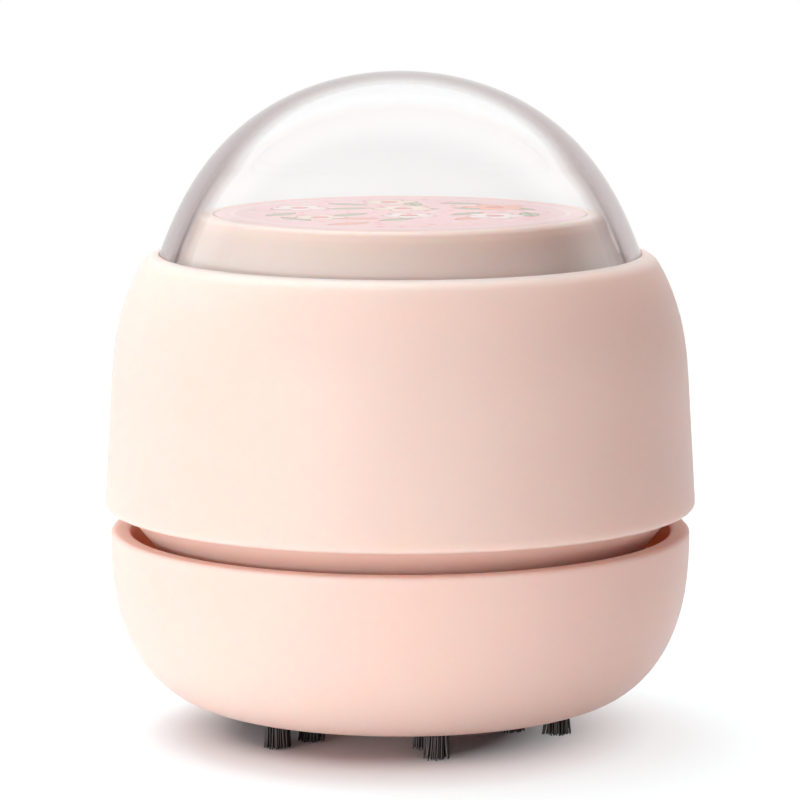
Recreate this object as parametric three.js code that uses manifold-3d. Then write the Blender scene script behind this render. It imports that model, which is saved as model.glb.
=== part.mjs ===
// A desktop mini vacuum cleaner: a round pot that is swept over a table top on twelve bristle tufts.
// The lower half is a dust bowl with a suction nozzle in its floor. The upper half lifts off it and holds
// the filter, the fan, its motor, the cell, the charging board and the switch. A clear dome with a low
// pedestal inside it is the push button on top.
//
// Units are millimetres, +Z is up, the origin is on the table under the middle of the pot,
// and the charging socket is at the back, towards +Y.
import * as THREE from "three";
import { mergeVertices } from "three/addons/utils/BufferGeometryUtils.js";
import Module from "manifold-3d";

const wasm = await Module();
wasm.setup();

// Driving dimensions: the heights that stack up from the table, and the widest radius.
const bristleReach = 4.4; // table to the underside of the bowl
const bowlHeight = 25.2;
const exhaustGap = 3.3; // rim of the bowl to the bottom edge of the upper housing
const housingHeight = 36.9;
const domeRise = 26.25; // crest of the housing's lip to the top of the dome
const bodyRadius = 43; // widest, just over the upper housing's bottom edge

const seatGap = 0.3; // left between pieces that sit on or in each other
const shaftGap = 0.25; // round the turning shaft
const overrun = 2; // how far a cutting tool runs past the face that it opens

const roundSteps = 28; // facets round a shell
const ringSteps = 20; // facets round an inner ring or disc
const smallSteps = 8; // facets round a screw, post or shaft
const curveSteps = 6; // points along a curved wall
const domeSteps = 7;

const bowlFootZ = bristleReach;
const rimZ = bowlFootZ + bowlHeight;
const housingFootZ = rimZ + exhaustGap;
const lipZ = housingFootZ + housingHeight;
const domeTopZ = lipZ + domeRise;

// What each piece measures.
const bowl = {
  rimInset: 0.75, // inside the widest radius
  turnIn: 14.25, // rim to the flat foot
  footFlat: 0.7,
  fullness: 2.6, // exponents of the outline: how long the side stays upright,
  turn: 1.84, // and how round it turns under
  wall: 2.8,
  rimRound: 0.6,
  innerRound: 0.3,
  floor: 1.5,
};
const cup = {
  outset: 2.6, // bore of the upright wall outside the bowl's foot
  wall: 1.6,
  spokeHeight: 1.2,
  bossRadius: 2.5,
};
const nozzle = {
  thickness: 2,
  mouthShare: 0.465, // of the brush's inner circle
  mouthRound: 1.1,
  chimneyWall: 1.4,
  filterGap: 2, // chimney's top to the filter
  pocketDepth: 1.2,
  headWell: 1.4,
};
const brush = {
  inserts: 3,
  pairsPerInsert: 2,
  edge: 3.1, // outer row of tufts inside the nozzle's edge
  innerShare: 0.72, // inner row of tufts against the outer one
  firstAngle: -77.5, // of the first pair of tufts, in degrees from +X
  pairPitch: 60, // degrees
  tuftRadius: 1.85,
  backing: 0.9,
  backingMargin: 0.4, // backing beyond a tuft
  strandRadius: 0.23,
  strandsPerTuft: 25,
  strandRoot: 0.4, // of a strand held in the backing
  tipTrim: 0.5, // how much of the longest strands the flat cut takes off
  tipSplayShare: 1.16,
  tipTaperShare: 0.8,
};
const screw = { headRadius: 2, headHeight: 1, shankRadius: 0.9 };
const housing = {
  draftShare: 0.061, // loss of radius against height
  shoulderHeight: 20.2,
  shoulderDrop: 4.7,
  shoulderTurn: 3.1,
  wall: 2.2,
  footRound: 1.1,
  innerRound: 0.4,
  lipDepth: 1.5, // from the crest to the lip's underside
  lipSlope: 1.3, // height over which the underside slopes out to the bore
  lipRound: 0.55,
  capBoreHeight: 5.1, // upright bore under the lip for the button's flange
  columnRadius: 2.7,
  columnHeight: 11.5,
  webThickness: 1.8,
  earBossHeight: 2.6,
};
const socketHole = { width: 9.6, height: 3.8 };
const lightHole = { radius: 1.1, offset: 9.4 };
const cone = {
  inset: 2.8, // neck inside the widest radius
  height: 13.3,
  wall: 2.2,
  spigotHeight: 3.3, // over the housing's foot
  spigotWall: 2.2,
  ledgeWidth: 1.5,
  ledgeHeight: 0.7, // over the housing's foot
  collarHeight: 3.1, // upright collar under the cone
  collarGap: 0.4, // between the collar and the cup
  collarWall: 2.4,
  stopWidth: 1.4,
  stopThickness: 1,
  grooveDepth: 1.2,
  grooveHeight: 1.6,
  grooveRise: 0.9,
  wellRadius: 3.3,
  wellBore: 2.5,
  wellFloor: 1.6,
  slots: 16,
  slotWidth: 3.2,
  slotHeight: 4.2,
  slotRise: 1.9, // over the bottom of the conical part
};
const fixing = { inset: 10.5, angles: [30, 150, 270], length: 12 };
const earFixing = { inset: 6.8, angles: [90, 210, 330], bossRadius: 2.5, length: 3.8 };
const seal = { width: 1, height: 1 };
const filter = {
  ringWall: 1.8,
  ringHeight: 1.9,
  flangeInset: 0.5, // inside the collar's outside
  flangeThickness: 0.7,
  ribs: 6,
  ribWidth: 1.2,
  ribHeight: 0.8,
  hubRadius: 3,
  feltThickness: 1,
};
const inlet = { thickness: 1.2, eyeRadius: 9, lipHeight: 1.1, lipWall: 1 };
const plate = { thickness: 1.8, ribThickness: 1.4, ribHeight: 8, noseBore: 3.3 };
const motor = {
  radius: 12,
  length: 20,
  wall: 0.9,
  floor: 1.4,
  capThickness: 1.8,
  capBoss: 1.2,
  capBossRadius: 3.6,
  magnetThickness: 0.8,
  magnetSpan: 130, // degrees
  magnetLength: 13,
  armatureRadius: 9.1,
  armatureLength: 11,
  armatureRise: 4.4,
  armatureSlot: 1.6,
  hubRadius: 3.6,
  commutatorRadius: 2.6,
  commutatorLength: 3.4,
  bearingRadius: 2.6,
  bearingLength: 3.6,
  screwCircle: 8,
  screwAngles: [45, 225],
  tabWidth: 2.2,
  tabThickness: 0.5,
  tabHeight: 4.4,
  tabOffset: 7.4,
};
const shaft = { radius: 1, tipRise: 0.6 }; // tip over the foot of the fan's hub
const impeller = {
  collarClearance: 3.8,
  plate: 1.2,
  eyeGap: 1.2, // over the lip of the eye
  bladeThickness: 1.1,
  blades: 12,
  bladeStart: 9.5,
  bladeBend: 13, // radius of the blade's arc
  hubRadius: 3.6,
  plateClearance: 3.2, // from the fan's plate up to the motor plate
};
const cell = { length: 40, motorGap: 2.2, columnGap: 6, cornerShare: 0.23 };
const pad = { inset: 2, thickness: 0.5 };
const board = { width: 22, thickness: 1.4, motorGap: 3.6, postHeight: 2.6, postRadius: 2.2 };
const boardScrew = { insetX: 2.6, insetY: 3.2, length: 4.2 };
const socket = {
  width: 8.9,
  height: 3.1,
  depth: 7.3,
  shell: 0.4,
  tongue: 0.7,
  overhang: 3.6, // beyond the board's back edge
  wallGap: 0.9,
};
const chip = { width: 5, depth: 4, height: 1.1, offsetX: -4, offsetY: 0.4 };
const lightPipe = { radius: 0.8 };
const lamp = { radius: 1, height: 2.4 };
const deck = {
  edge: 4.4, // beyond the circle of the guides
  thickness: 1.6,
  underCeiling: 14.3, // top of the deck to the button's ceiling
  motorGap: 0.8,
  earWidth: 6,
  sleeveHeight: 6.2,
  sleeveWall: 0.9,
  wireHole: 2.6,
  wireHoleAngle: 57,
  wireHoleWeb: 1.8, // left between the two holes
};
const guide = { inset: 5.8, angles: [30, 150, 270], postRadius: 1.9, slideGap: 0.3, footRise: 1.2 };
const spring = { wire: 0.6, coilRadius: 4.1, turns: 4.5 };
const switchBox = { width: 8.4, height: 8.6, holeMargin: 1.5, boreDepth: 6.2, plungerGap: 0.3 };
const plunger = { radius: 1.7, length: 5.2, sunk: 3 };
const dome = {
  inset: 6.95, // foot inside the widest radius
  sunk: 3.4, // foot under the crest of the housing's lip
  flatteningShare: 1.695, // shape of the dome's side, taken with its height
  flareShare: 0.502,
  wall: 1.8,
};
const button = {
  flangeOutset: 0.15, // beyond the dome's foot
  flangeThickness: 1.5,
  rise: 5.8, // lip crest to the pedestal's top
  domeGap: 1.1, // between the pedestal's top and the dome
  footGap: 0.55, // between the pedestal's foot and the dome
  flareTurn: 1.5,
  topRound: 1.1,
  wall: 1.8,
  ceiling: 1.8,
  recess: 0.8,
  pressRadius: 2.6,
  rimWidth: 2.4, // round the printed disc
};
const picture = { thickness: 0.5 };
const wire = { radius: 0.6, sides: 6, steps: 9, padPitch: 2.4, padInset: 1.6 };

// Colours of the finishes.
const finishes = {
  shell: new THREE.MeshStandardMaterial({ color: 0xf4d3c9, roughness: 0.42, metalness: 0 }),
  innerShell: new THREE.MeshStandardMaterial({ color: 0xefcfc6, roughness: 0.5, metalness: 0 }),
  clear: new THREE.MeshStandardMaterial({
    color: 0xf4f2f3,
    roughness: 0.05,
    metalness: 0,
    transparent: true,
    opacity: 0.25,
  }),
  print: new THREE.MeshStandardMaterial({ color: 0xf3cfd0, roughness: 0.5, metalness: 0 }),
  bristle: new THREE.MeshStandardMaterial({ color: 0x1d1715, roughness: 0.6, metalness: 0 }),
  whitePlastic: new THREE.MeshStandardMaterial({ color: 0xeceae6, roughness: 0.5, metalness: 0 }),
  blackPlastic: new THREE.MeshStandardMaterial({ color: 0x1b1b1d, roughness: 0.5, metalness: 0 }),
  rubber: new THREE.MeshStandardMaterial({ color: 0xd9d4d0, roughness: 0.8, metalness: 0 }),
  felt: new THREE.MeshStandardMaterial({ color: 0xe4e4e2, roughness: 0.95, metalness: 0 }),
  steel: new THREE.MeshStandardMaterial({ color: 0xb9bbbe, roughness: 0.3, metalness: 1 }),
  brass: new THREE.MeshStandardMaterial({ color: 0xc9a35c, roughness: 0.35, metalness: 1 }),
  magnet: new THREE.MeshStandardMaterial({ color: 0x3b3a3c, roughness: 0.6, metalness: 0.3 }),
  boardGreen: new THREE.MeshStandardMaterial({ color: 0x1f5a3a, roughness: 0.5, metalness: 0 }),
  foil: new THREE.MeshStandardMaterial({ color: 0x9fb4c6, roughness: 0.4, metalness: 0.3 }),
  foam: new THREE.MeshStandardMaterial({ color: 0x2a2a2c, roughness: 0.95, metalness: 0 }),
  redWire: new THREE.MeshStandardMaterial({ color: 0xb3261e, roughness: 0.45, metalness: 0 }),
  blackWire: new THREE.MeshStandardMaterial({ color: 0x19191b, roughness: 0.45, metalness: 0 }),
};

const degrees = Math.PI / 180;

// Solids: closed geometry in, joined or cut solid out.

// A closed geometry as a solid: doubles merged, closed-up slivers dropped, faces turned outwards.
function solidOf(geometry) {
  const loose = geometry.index ? geometry.toNonIndexed() : geometry;
  const bare = new THREE.BufferGeometry().setAttribute("position", loose.getAttribute("position"));
  const merged = mergeVertices(bare);
  const place = merged.attributes.position.array;
  const corners = merged.index.array;
  const kept = [];
  let volume = 0;
  for (let i = 0; i < corners.length; i += 3) {
    const [a, b, c] = [corners[i], corners[i + 1], corners[i + 2]];
    if (a === b || b === c || c === a) continue;
    kept.push(a, b, c);
    const at = (n) => new THREE.Vector3().fromArray(place, n * 3);
    volume += at(a).dot(at(b).cross(at(c)));
  }
  if (volume < 0) kept.reverse();
  const mesh = new wasm.Mesh({ numProp: 3, vertProperties: place, triVerts: new Uint32Array(kept) });
  return new wasm.Manifold(mesh);
}

function geometryOf(solid) {
  const { vertProperties, triVerts } = solid.getMesh();
  const geometry = new THREE.BufferGeometry();
  geometry.setAttribute("position", new THREE.BufferAttribute(vertProperties, 3));
  geometry.setIndex(new THREE.BufferAttribute(triVerts, 1));
  geometry.computeVertexNormals();
  return geometry;
}

function join(first, ...more) {
  return more.reduce((whole, solid) => whole.add(solid), first);
}

function cut(whole, ...tools) {
  return tools.reduce((rest, tool) => rest.subtract(tool), whole);
}

// A solid of revolution from a closed outline of [radius, height] points.
function turned(outline, steps = roundSteps) {
  const points = outline.map(([radius, height]) => new THREE.Vector2(radius, height));
  const onAxis = points[0].x === 0 && points[points.length - 1].x === 0;
  if (!onAxis) points.push(points[0].clone());
  return solidOf(new THREE.LatheGeometry(points, steps).rotateX(Math.PI / 2));
}

// An upright post with its foot at the given place.
function post(radius, height, [x, y, z] = [0, 0, 0], steps = smallSteps) {
  const geometry = new THREE.CylinderGeometry(radius, radius, height, steps).rotateX(Math.PI / 2);
  return solidOf(geometry.translate(x, y, z + height / 2));
}

// A flat ring or tube round the middle axis.
function ring(outer, inner, foot, height, steps = ringSteps) {
  return turned(
    [
      [inner, foot],
      [outer, foot],
      [outer, foot + height],
      [inner, foot + height],
    ],
    steps,
  );
}

// A block centred in x and y on the given place, with its foot there, turned about the middle axis.
function block(width, depth, height, [x, y, z] = [0, 0, 0], turn = 0) {
  const geometry = new THREE.BoxGeometry(width, depth, height).translate(x, y, z + height / 2);
  return solidOf(geometry.rotateZ(turn));
}

// A plate with rounded corners, extruded upwards from the given height.
function roundedPlate(width, depth, height, corner, steps = 3) {
  const [w, d] = [width / 2, depth / 2];
  const shape = new THREE.Shape();
  shape.moveTo(w, -d + corner);
  shape.absarc(w - corner, d - corner, corner, 0, Math.PI / 2);
  shape.absarc(corner - w, d - corner, corner, Math.PI / 2, Math.PI);
  shape.absarc(corner - w, corner - d, corner, Math.PI, Math.PI * 1.5);
  shape.absarc(w - corner, corner - d, corner, Math.PI * 1.5, Math.PI * 2);
  return new THREE.ExtrudeGeometry(shape, { depth: height, bevelEnabled: false, curveSegments: steps });
}

// Points of an arc in an outline, from one angle to another, in degrees.
function arc(radius, height, bend, from, to, steps = 3) {
  return Array.from({ length: steps + 1 }, (_, i) => {
    const angle = (from + ((to - from) * i) / steps) * degrees;
    return [radius + bend * Math.cos(angle), height + bend * Math.sin(angle)];
  });
}

// A curved wall's points between two heights.
function curve(radiusAt, low, high, steps = curveSteps) {
  return Array.from({ length: steps + 1 }, (_, i) => {
    const height = low + ((high - low) * i) / steps;
    return [radiusAt(height), height];
  });
}

function onCircle(circle, angle, height = 0) {
  return [circle * Math.cos(angle * degrees), circle * Math.sin(angle * degrees), height];
}

// One post at each place, all from the same height.
function postsAt(places, radius, foot, height) {
  return places.map(([x, y]) => post(radius, height, [x, y, foot]));
}

// Holes that clear a screw's shank.
function shankHoles(places, foot, height) {
  return postsAt(places, screw.shankRadius + seatGap, foot, height);
}

// Round sizes that follow the body, or the piece that they fit.
const rimRadius = bodyRadius - bowl.rimInset;
const footRadius = rimRadius - bowl.turnIn;
const nozzleRadius = footRadius - bowl.footFlat - seatGap;
const outerRow = nozzleRadius - brush.edge;
const innerRow = outerRow * brush.innerShare;
const nozzleScrewCircle = (outerRow + innerRow) / 2;
const mouthRadius = innerRow * nozzle.mouthShare;
const chimneyRadius = mouthRadius + nozzle.chimneyWall;
const cupRadius = footRadius + cup.outset;
const collarRadius = cupRadius - cone.collarGap;
const collarBore = collarRadius - cone.collarWall;
const neckRadius = bodyRadius - cone.inset;
const domeFootRadius = bodyRadius - dome.inset;
const flangeRadius = domeFootRadius + button.flangeOutset;
const fixingCircle = bodyRadius - fixing.inset;
const earCircle = bodyRadius - earFixing.inset;
const fanRadius = collarBore - impeller.collarClearance;

// Levels, from the table up.
const floorZ = bowlFootZ + nozzle.thickness + seatGap;
const floorTopZ = floorZ + bowl.floor;
const collarTopZ = housingFootZ - cone.height;
const collarFootZ = collarTopZ - cone.collarHeight;
const filterFlangeZ = collarFootZ - seatGap - filter.flangeThickness;
const chimneyTopZ = filterFlangeZ - nozzle.filterGap;
const stopZ = collarTopZ - cone.stopThickness + seatGap;
const inletZ = stopZ + cone.stopThickness + seatGap;
const ledgeZ = housingFootZ + cone.ledgeHeight;
const plateZ = ledgeZ + seatGap;
const plateTopZ = plateZ + plate.thickness;
const fanPlateZ = plateZ - impeller.plateClearance - impeller.plate;
const bladeFootZ = inletZ + inlet.thickness + inlet.lipHeight + impeller.eyeGap;
const motorZ = plateTopZ + seatGap;
const motorTopZ = motorZ + motor.length;
const motorTopGapZ = motorTopZ + seatGap;
const tabEyeZ = motorTopGapZ + motor.tabHeight - motor.tabWidth / 2;
const boardZ = plateTopZ + board.postHeight + seatGap;
const boardTopZ = boardZ + board.thickness;
const socketZ = boardTopZ + seatGap;
const pedestalTopZ = lipZ + button.rise;
const ceilingZ = pedestalTopZ - button.recess - button.ceiling;
const domeHeight = domeRise + dome.sunk;
const flangeTopZ = domeTopZ - domeHeight - seatGap;
const flangeZ = flangeTopZ - button.flangeThickness;
const deckTopZ = ceilingZ - deck.underCeiling;
const deckZ = deckTopZ - deck.thickness;
const switchZ = deckTopZ + seatGap;
const cellHeight = deckZ - seatGap - pad.thickness - seatGap - (plateTopZ + seatGap);

// Outlines that several pieces share.

// The bowl's side is a quarter of a flattened oval from the rim down to the foot.
function bowlSide(height) {
  const depthShare = (rimZ - height) / bowlHeight;
  const fullness = Math.max(0, 1 - depthShare ** bowl.fullness);
  return footRadius + bowl.turnIn * fullness ** (1 / bowl.turn);
}

// The upper housing leans in evenly, and its shoulder falls away from that line.
function housingSide(height) {
  const shoulderFoot = lipZ - housing.shoulderHeight;
  const share = Math.max(0, (height - shoulderFoot) / housing.shoulderHeight);
  const leaning = bodyRadius - housing.draftShare * (height - housingFootZ - housing.footRound);
  return leaning - housing.shoulderDrop * share ** housing.shoulderTurn;
}

// The dome's radius at a depth under its top: a sphere's, flattened towards the foot.
function domeSide(depth) {
  const bend = dome.flatteningShare - dome.flareShare;
  const crown = (domeFootRadius ** 2 + bend * domeHeight ** 2) / domeHeight;
  const flare = (dome.flareShare * depth ** 3) / domeHeight;
  return Math.sqrt(crown * depth - dome.flatteningShare * depth ** 2 + flare);
}

// The conical underside of the upper half.
function coneSide(height) {
  return neckRadius - ((neckRadius - collarRadius) * (housingFootZ - height)) / cone.height;
}

// Sizes that follow those outlines.
const spigotRadius = housingSide(housingFootZ + cone.spigotHeight) - housing.wall - seatGap;
const socketMidZ = socketZ + socket.height / 2;
const socketInner = housingSide(socketMidZ) - housing.wall;
const mouthY = Math.sqrt(socketInner ** 2 - (socket.width / 2) ** 2) - socket.wallGap;
const boardFrontY = motor.radius + board.motorGap;
const boardBackY = mouthY - socket.overhang;
const cellBackY = -motor.radius - cell.motorGap;
const cellFrontY = housing.columnRadius + cell.columnGap - fixingCircle;
const cellMiddleY = (cellBackY + cellFrontY) / 2;
const cellThickness = cellBackY - cellFrontY;
const topRadius = domeSide(domeTopZ - pedestalTopZ) - dome.wall - button.domeGap;
const pedestalFlare = domeFootRadius - dome.wall - button.footGap - topRadius;
const pictureRadius = topRadius - button.rimWidth - seatGap;
const guideCircle = topRadius - guide.inset;
const deckRadius = guideCircle + deck.edge;
const motorHole = motor.radius + deck.motorGap;
const switchY = motorHole + switchBox.holeMargin + switchBox.width / 2;
const wireHoleCircle = motorHole + deck.wireHoleWeb + deck.wireHole;

function placesOf(circle, angles) {
  return angles.map((angle) => onCircle(circle, angle));
}

const fixingPlaces = placesOf(fixingCircle, fixing.angles);
const earPlaces = placesOf(earCircle, earFixing.angles);
const guidePlaces = placesOf(guideCircle, guide.angles);
const wireHolePlace = onCircle(wireHoleCircle, deck.wireHoleAngle);

// Lower half.

function makeBowl() {
  const innerSide = (height) => bowlSide(height) - bowl.wall;
  const inner = rimRadius - bowl.wall;
  const outline = [
    [nozzleRadius + seatGap, bowlFootZ],
    ...curve(bowlSide, bowlFootZ, rimZ - bowl.rimRound).slice(0, -1),
    ...arc(rimRadius - bowl.rimRound, rimZ - bowl.rimRound, bowl.rimRound, 0, 90, 2),
    ...arc(inner + bowl.innerRound, rimZ - bowl.innerRound, bowl.innerRound, 90, 180, 1),
    ...curve(innerSide, floorTopZ, rimZ - bowl.rimRound * 2, 4).reverse(),
    [chimneyRadius + seatGap, floorTopZ],
    [chimneyRadius + seatGap, floorZ],
    [nozzleRadius + seatGap, floorZ],
  ];
  return cut(turned(outline), ...shankHoles(nozzleScrewPlaces, floorZ - overrun, bowl.floor + overrun * 2));
}

// The nozzle's screws stand midway between the brush inserts.
const insertPitch = 360 / brush.inserts;
const firstScrewAngle = brush.firstAngle - brush.pairPitch / 2;
const nozzleScrewPlaces = Array.from({ length: brush.inserts }, (_, i) =>
  onCircle(nozzleScrewCircle, firstScrewAngle + i * insertPitch),
);
const nozzleHeadZ = bowlFootZ + nozzle.headWell - seatGap;
const nozzleScrewLength = chimneyTopZ - screw.headHeight - nozzleHeadZ;

// The upright wall that the filter's collar plugs into, with bosses on spokes for the nozzle's screws.
function makeCup() {
  const foot = floorTopZ + seatGap;
  const wall = ring(cupRadius + cup.wall, cupRadius, foot, collarTopZ - foot, roundSteps);
  const reach = cupRadius + cup.wall / 2 - nozzleScrewCircle;
  const place = [nozzleScrewCircle + reach / 2, 0, foot];
  const spokes = nozzleScrewPlaces.map((_, i) => {
    const angle = (firstScrewAngle + i * insertPitch) * degrees;
    return block(reach, cup.bossRadius * 2, cup.spokeHeight, place, angle);
  });
  const bosses = postsAt(nozzleScrewPlaces, cup.bossRadius, foot, chimneyTopZ - foot);
  const pilots = shankHoles(nozzleScrewPlaces, foot - overrun, chimneyTopZ - foot + overrun * 2);
  return cut(join(wall, ...spokes, ...bosses), ...pilots);
}

// The brush insert's outline seen from below: a slice of a ring round its tufts.
function insertSlice(margin, height) {
  const reach = brush.tuftRadius + brush.backingMargin + margin;
  const inner = innerRow - reach;
  const outer = outerRow + reach;
  const half = (brush.pairPitch / 2) * degrees + reach / innerRow;
  const shape = new THREE.Shape();
  shape.absarc(0, 0, outer, -half, half);
  shape.absarc(0, 0, inner, half, -half, true);
  return new THREE.ExtrudeGeometry(shape, { depth: height, bevelEnabled: false, curveSegments: 6 });
}

function insertAngle(index) {
  return brush.firstAngle + brush.pairPitch / 2 + index * insertPitch;
}

function makeNozzle() {
  const top = bowlFootZ + nozzle.thickness;
  const round = nozzle.mouthRound;
  const body = turned([
    ...arc(mouthRadius + round, bowlFootZ + round, round, 180, 270),
    [nozzleRadius, bowlFootZ],
    [nozzleRadius, top],
    [chimneyRadius, top],
    [chimneyRadius, chimneyTopZ],
    [mouthRadius, chimneyTopZ],
  ]);
  const pockets = Array.from({ length: brush.inserts }, (_, i) => {
    const slice = insertSlice(seatGap, nozzle.pocketDepth + overrun);
    return solidOf(slice.rotateZ(insertAngle(i) * degrees).translate(0, 0, bowlFootZ - overrun));
  });
  const start = bowlFootZ - overrun;
  const wells = postsAt(nozzleScrewPlaces, screw.headRadius + seatGap, start, nozzle.headWell + overrun);
  const holes = shankHoles(nozzleScrewPlaces, start, nozzle.thickness + overrun * 2);
  return cut(body, ...pockets, ...wells, ...holes);
}

// Places of a tuft's strands, on a spiral that fills its round.
function strandPlaces() {
  const goldenAngle = Math.PI * (3 - Math.sqrt(5));
  const reach = brush.tuftRadius - brush.strandRadius;
  return Array.from({ length: brush.strandsPerTuft }, (_, i) => {
    const out = reach * Math.sqrt((i + 0.5) / brush.strandsPerTuft);
    return [out * Math.cos(i * goldenAngle), out * Math.sin(i * goldenAngle)];
  });
}

// One tuft: three-sided strands that spread a little, their tips uneven but cut flat on the table.
function tuftTriangles(centre, seed, triangles) {
  const rootZ = bowlFootZ + brush.strandRoot;
  strandPlaces().forEach(([x, y], index) => {
    const uneven = ((index * 7 + seed * 5) % 11) / 10 - 0.5;
    const tipZ = index === 0 ? 0 : Math.max(0, uneven * 2 * brush.tipTrim);
    const corner = (k, share, spread, z) => {
      const angle = k * 120 + seed * 40;
      const [out, across] = onCircle(brush.strandRadius * share, angle);
      return [centre[0] + x * spread + out, centre[1] + y * spread + across, z];
    };
    const root = [0, 1, 2].map((k) => corner(k, 1, 1, rootZ));
    const tip = [0, 1, 2].map((k) => corner(k, brush.tipTaperShare, brush.tipSplayShare, tipZ));
    triangles.push(root[0], root[1], root[2], tip[0], tip[2], tip[1]);
    for (let k = 0; k < 3; k += 1) {
      const next = (k + 1) % 3;
      triangles.push(root[k], tip[k], tip[next], root[k], tip[next], root[next]);
    }
  });
}

function makeBrushInsert(index) {
  const backing = insertSlice(0, brush.backing).rotateZ(insertAngle(index) * degrees);
  const triangles = [];
  for (let pair = 0; pair < brush.pairsPerInsert; pair += 1) {
    const angle = brush.firstAngle + pair * brush.pairPitch + index * insertPitch;
    tuftTriangles(onCircle(innerRow, angle), pair * 2 + index, triangles);
    tuftTriangles(onCircle(outerRow, angle), pair * 2 + index + 1, triangles);
  }
  const strands = new THREE.BufferGeometry();
  strands.setAttribute("position", new THREE.Float32BufferAttribute(triangles.flat(), 3));
  return join(solidOf(backing.translate(0, 0, bowlFootZ)), solidOf(strands));
}

// A pan-head screw pointing up, its head's underside at the origin.
function makeScrew(length) {
  const crown = 0.3 * screw.headHeight;
  const body = turned(
    [
      [0, -screw.headHeight],
      [screw.headRadius - crown, -screw.headHeight],
      [screw.headRadius, -screw.headHeight + crown],
      [screw.headRadius, 0],
      [screw.shankRadius, 0],
      [screw.shankRadius, length - screw.shankRadius],
      [0, length],
    ],
    smallSteps,
  );
  const slot = screw.headRadius * 0.28;
  const drive = block(screw.headRadius * 1.2, slot, crown * 1.5, [0, 0, -screw.headHeight - crown / 2]);
  return cut(body, drive);
}

// Upper half: shells.

function makeHousing() {
  const foot = housingFootZ + housing.footRound;
  const boreTop = lipZ - housing.lipDepth;
  const boreFoot = boreTop - housing.capBoreHeight;
  const bore = flangeRadius + seatGap + shaftGap / 2;
  const innerSide = (height) => housingSide(height) - housing.wall;
  const lipInner = (height) => domeSide(domeTopZ - height) + seatGap;
  const shoulderZ = lipZ - housing.shoulderHeight;
  const crestZ = lipZ - housing.lipRound;
  const crestRadius = lipInner(crestZ) + housing.lipRound;
  const outline = [
    [innerSide(housingFootZ) + housing.innerRound, housingFootZ],
    ...arc(bodyRadius - housing.footRound, foot, housing.footRound, -90, 0, 2),
    ...curve(housingSide, foot, shoulderZ, 2).slice(1),
    ...curve(housingSide, shoulderZ, crestZ, 5).slice(1),
    ...arc(crestRadius, crestZ, housing.lipRound, 60, 180, 2),
    [lipInner(boreTop), boreTop],
    [bore, boreTop - housing.lipSlope],
    [bore, boreFoot],
    ...curve(innerSide, housingFootZ + housing.innerRound, boreFoot - housing.wall / 2, 3).reverse(),
  ];
  const middle = (height) => housingSide(height) - housing.wall / 2;
  const envelope = turned([[0, housingFootZ], ...curve(middle, housingFootZ, boreTop), [0, boreTop]]);
  const bossFoot = deckTopZ + seatGap;
  const earBosses = postsAt(earPlaces, earFixing.bossRadius, bossFoot, housing.earBossHeight);
  const pilots = [
    ...shankHoles(fixingPlaces, housingFootZ, housing.columnHeight - seatGap),
    ...shankHoles(earPlaces, deckZ, earFixing.length),
  ];
  const bosses = earBosses.map((boss) => boss.intersect(envelope));
  return cut(join(turned(outline), ...makeColumns(), ...bosses), ...pilots, ...makePortHoles());
}

// Screw columns inside the housing, each with a web to the wall.
function makeColumns() {
  const foot = housingFootZ + cone.spigotHeight + seatGap;
  const reach = housingSide(foot) - housing.wall / 2 - fixingCircle;
  const place = [fixingCircle + reach / 2, 0, foot];
  const columns = postsAt(fixingPlaces, housing.columnRadius, foot, housing.columnHeight);
  const webs = fixing.angles.map((angle) =>
    block(reach, housing.webThickness, housing.columnHeight, place, angle * degrees),
  );
  return [...columns, ...webs];
}

// The openings at the back for the charging plug and the lamp.
function makePortHoles() {
  const start = mouthY - housing.wall;
  const corner = socketHole.height * 0.48;
  const slot = roundedPlate(socketHole.width, socketHole.height, bodyRadius, corner).rotateX(-Math.PI / 2);
  const peephole = new THREE.CylinderGeometry(lightHole.radius, lightHole.radius, bodyRadius, smallSteps);
  return [
    solidOf(slot.translate(0, start, socketMidZ)),
    solidOf(peephole.translate(lightHole.offset, start + bodyRadius / 2, socketMidZ)),
  ];
}

function makeCone() {
  const top = housingFootZ + cone.spigotHeight;
  const spigotInner = spigotRadius - cone.spigotWall;
  const ledgeInner = spigotInner - cone.ledgeWidth;
  const innerSide = (height) => coneSide(height) - cone.wall;
  const innerFoot = stopZ + cone.stopThickness;
  const slopeShare = (neckRadius - collarRadius) / cone.height;
  const innerTop = housingFootZ - (neckRadius - cone.wall - ledgeInner) / slopeShare;
  const grooveZ = collarFootZ + cone.grooveRise;
  const outline = [
    [collarBore, collarFootZ],
    [collarRadius, collarFootZ],
    [collarRadius, grooveZ],
    [collarRadius - cone.grooveDepth, grooveZ],
    [collarRadius - cone.grooveDepth, grooveZ + cone.grooveHeight],
    [collarRadius, grooveZ + cone.grooveHeight],
    [collarRadius, collarTopZ],
    [neckRadius, housingFootZ],
    [spigotRadius, housingFootZ + seatGap],
    [spigotRadius, top],
    [spigotInner, top],
    [spigotInner, ledgeZ],
    [ledgeInner, ledgeZ],
    [ledgeInner, innerTop],
    [innerSide(innerFoot), innerFoot],
    [collarBore - cone.stopWidth, innerFoot],
    [collarBore - cone.stopWidth, stopZ],
    [collarBore, stopZ],
  ];
  const envelope = turned([
    [0, collarTopZ],
    [collarRadius, collarTopZ],
    [neckRadius, housingFootZ],
    [neckRadius - cone.wall, ledgeZ],
    [0, ledgeZ],
  ]);
  const wells = postsAt(fixingPlaces, cone.wellRadius, collarTopZ, ledgeZ - collarTopZ);
  const bores = [
    ...postsAt(fixingPlaces, cone.wellBore, collarFootZ, ledgeZ - cone.wellFloor - collarFootZ),
    ...shankHoles(fixingPlaces, collarFootZ, ledgeZ),
  ];
  const shell = join(turned(outline), ...wells.map((well) => well.intersect(envelope)));
  return cut(shell, ...bores, ...makeVents());
}

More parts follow.
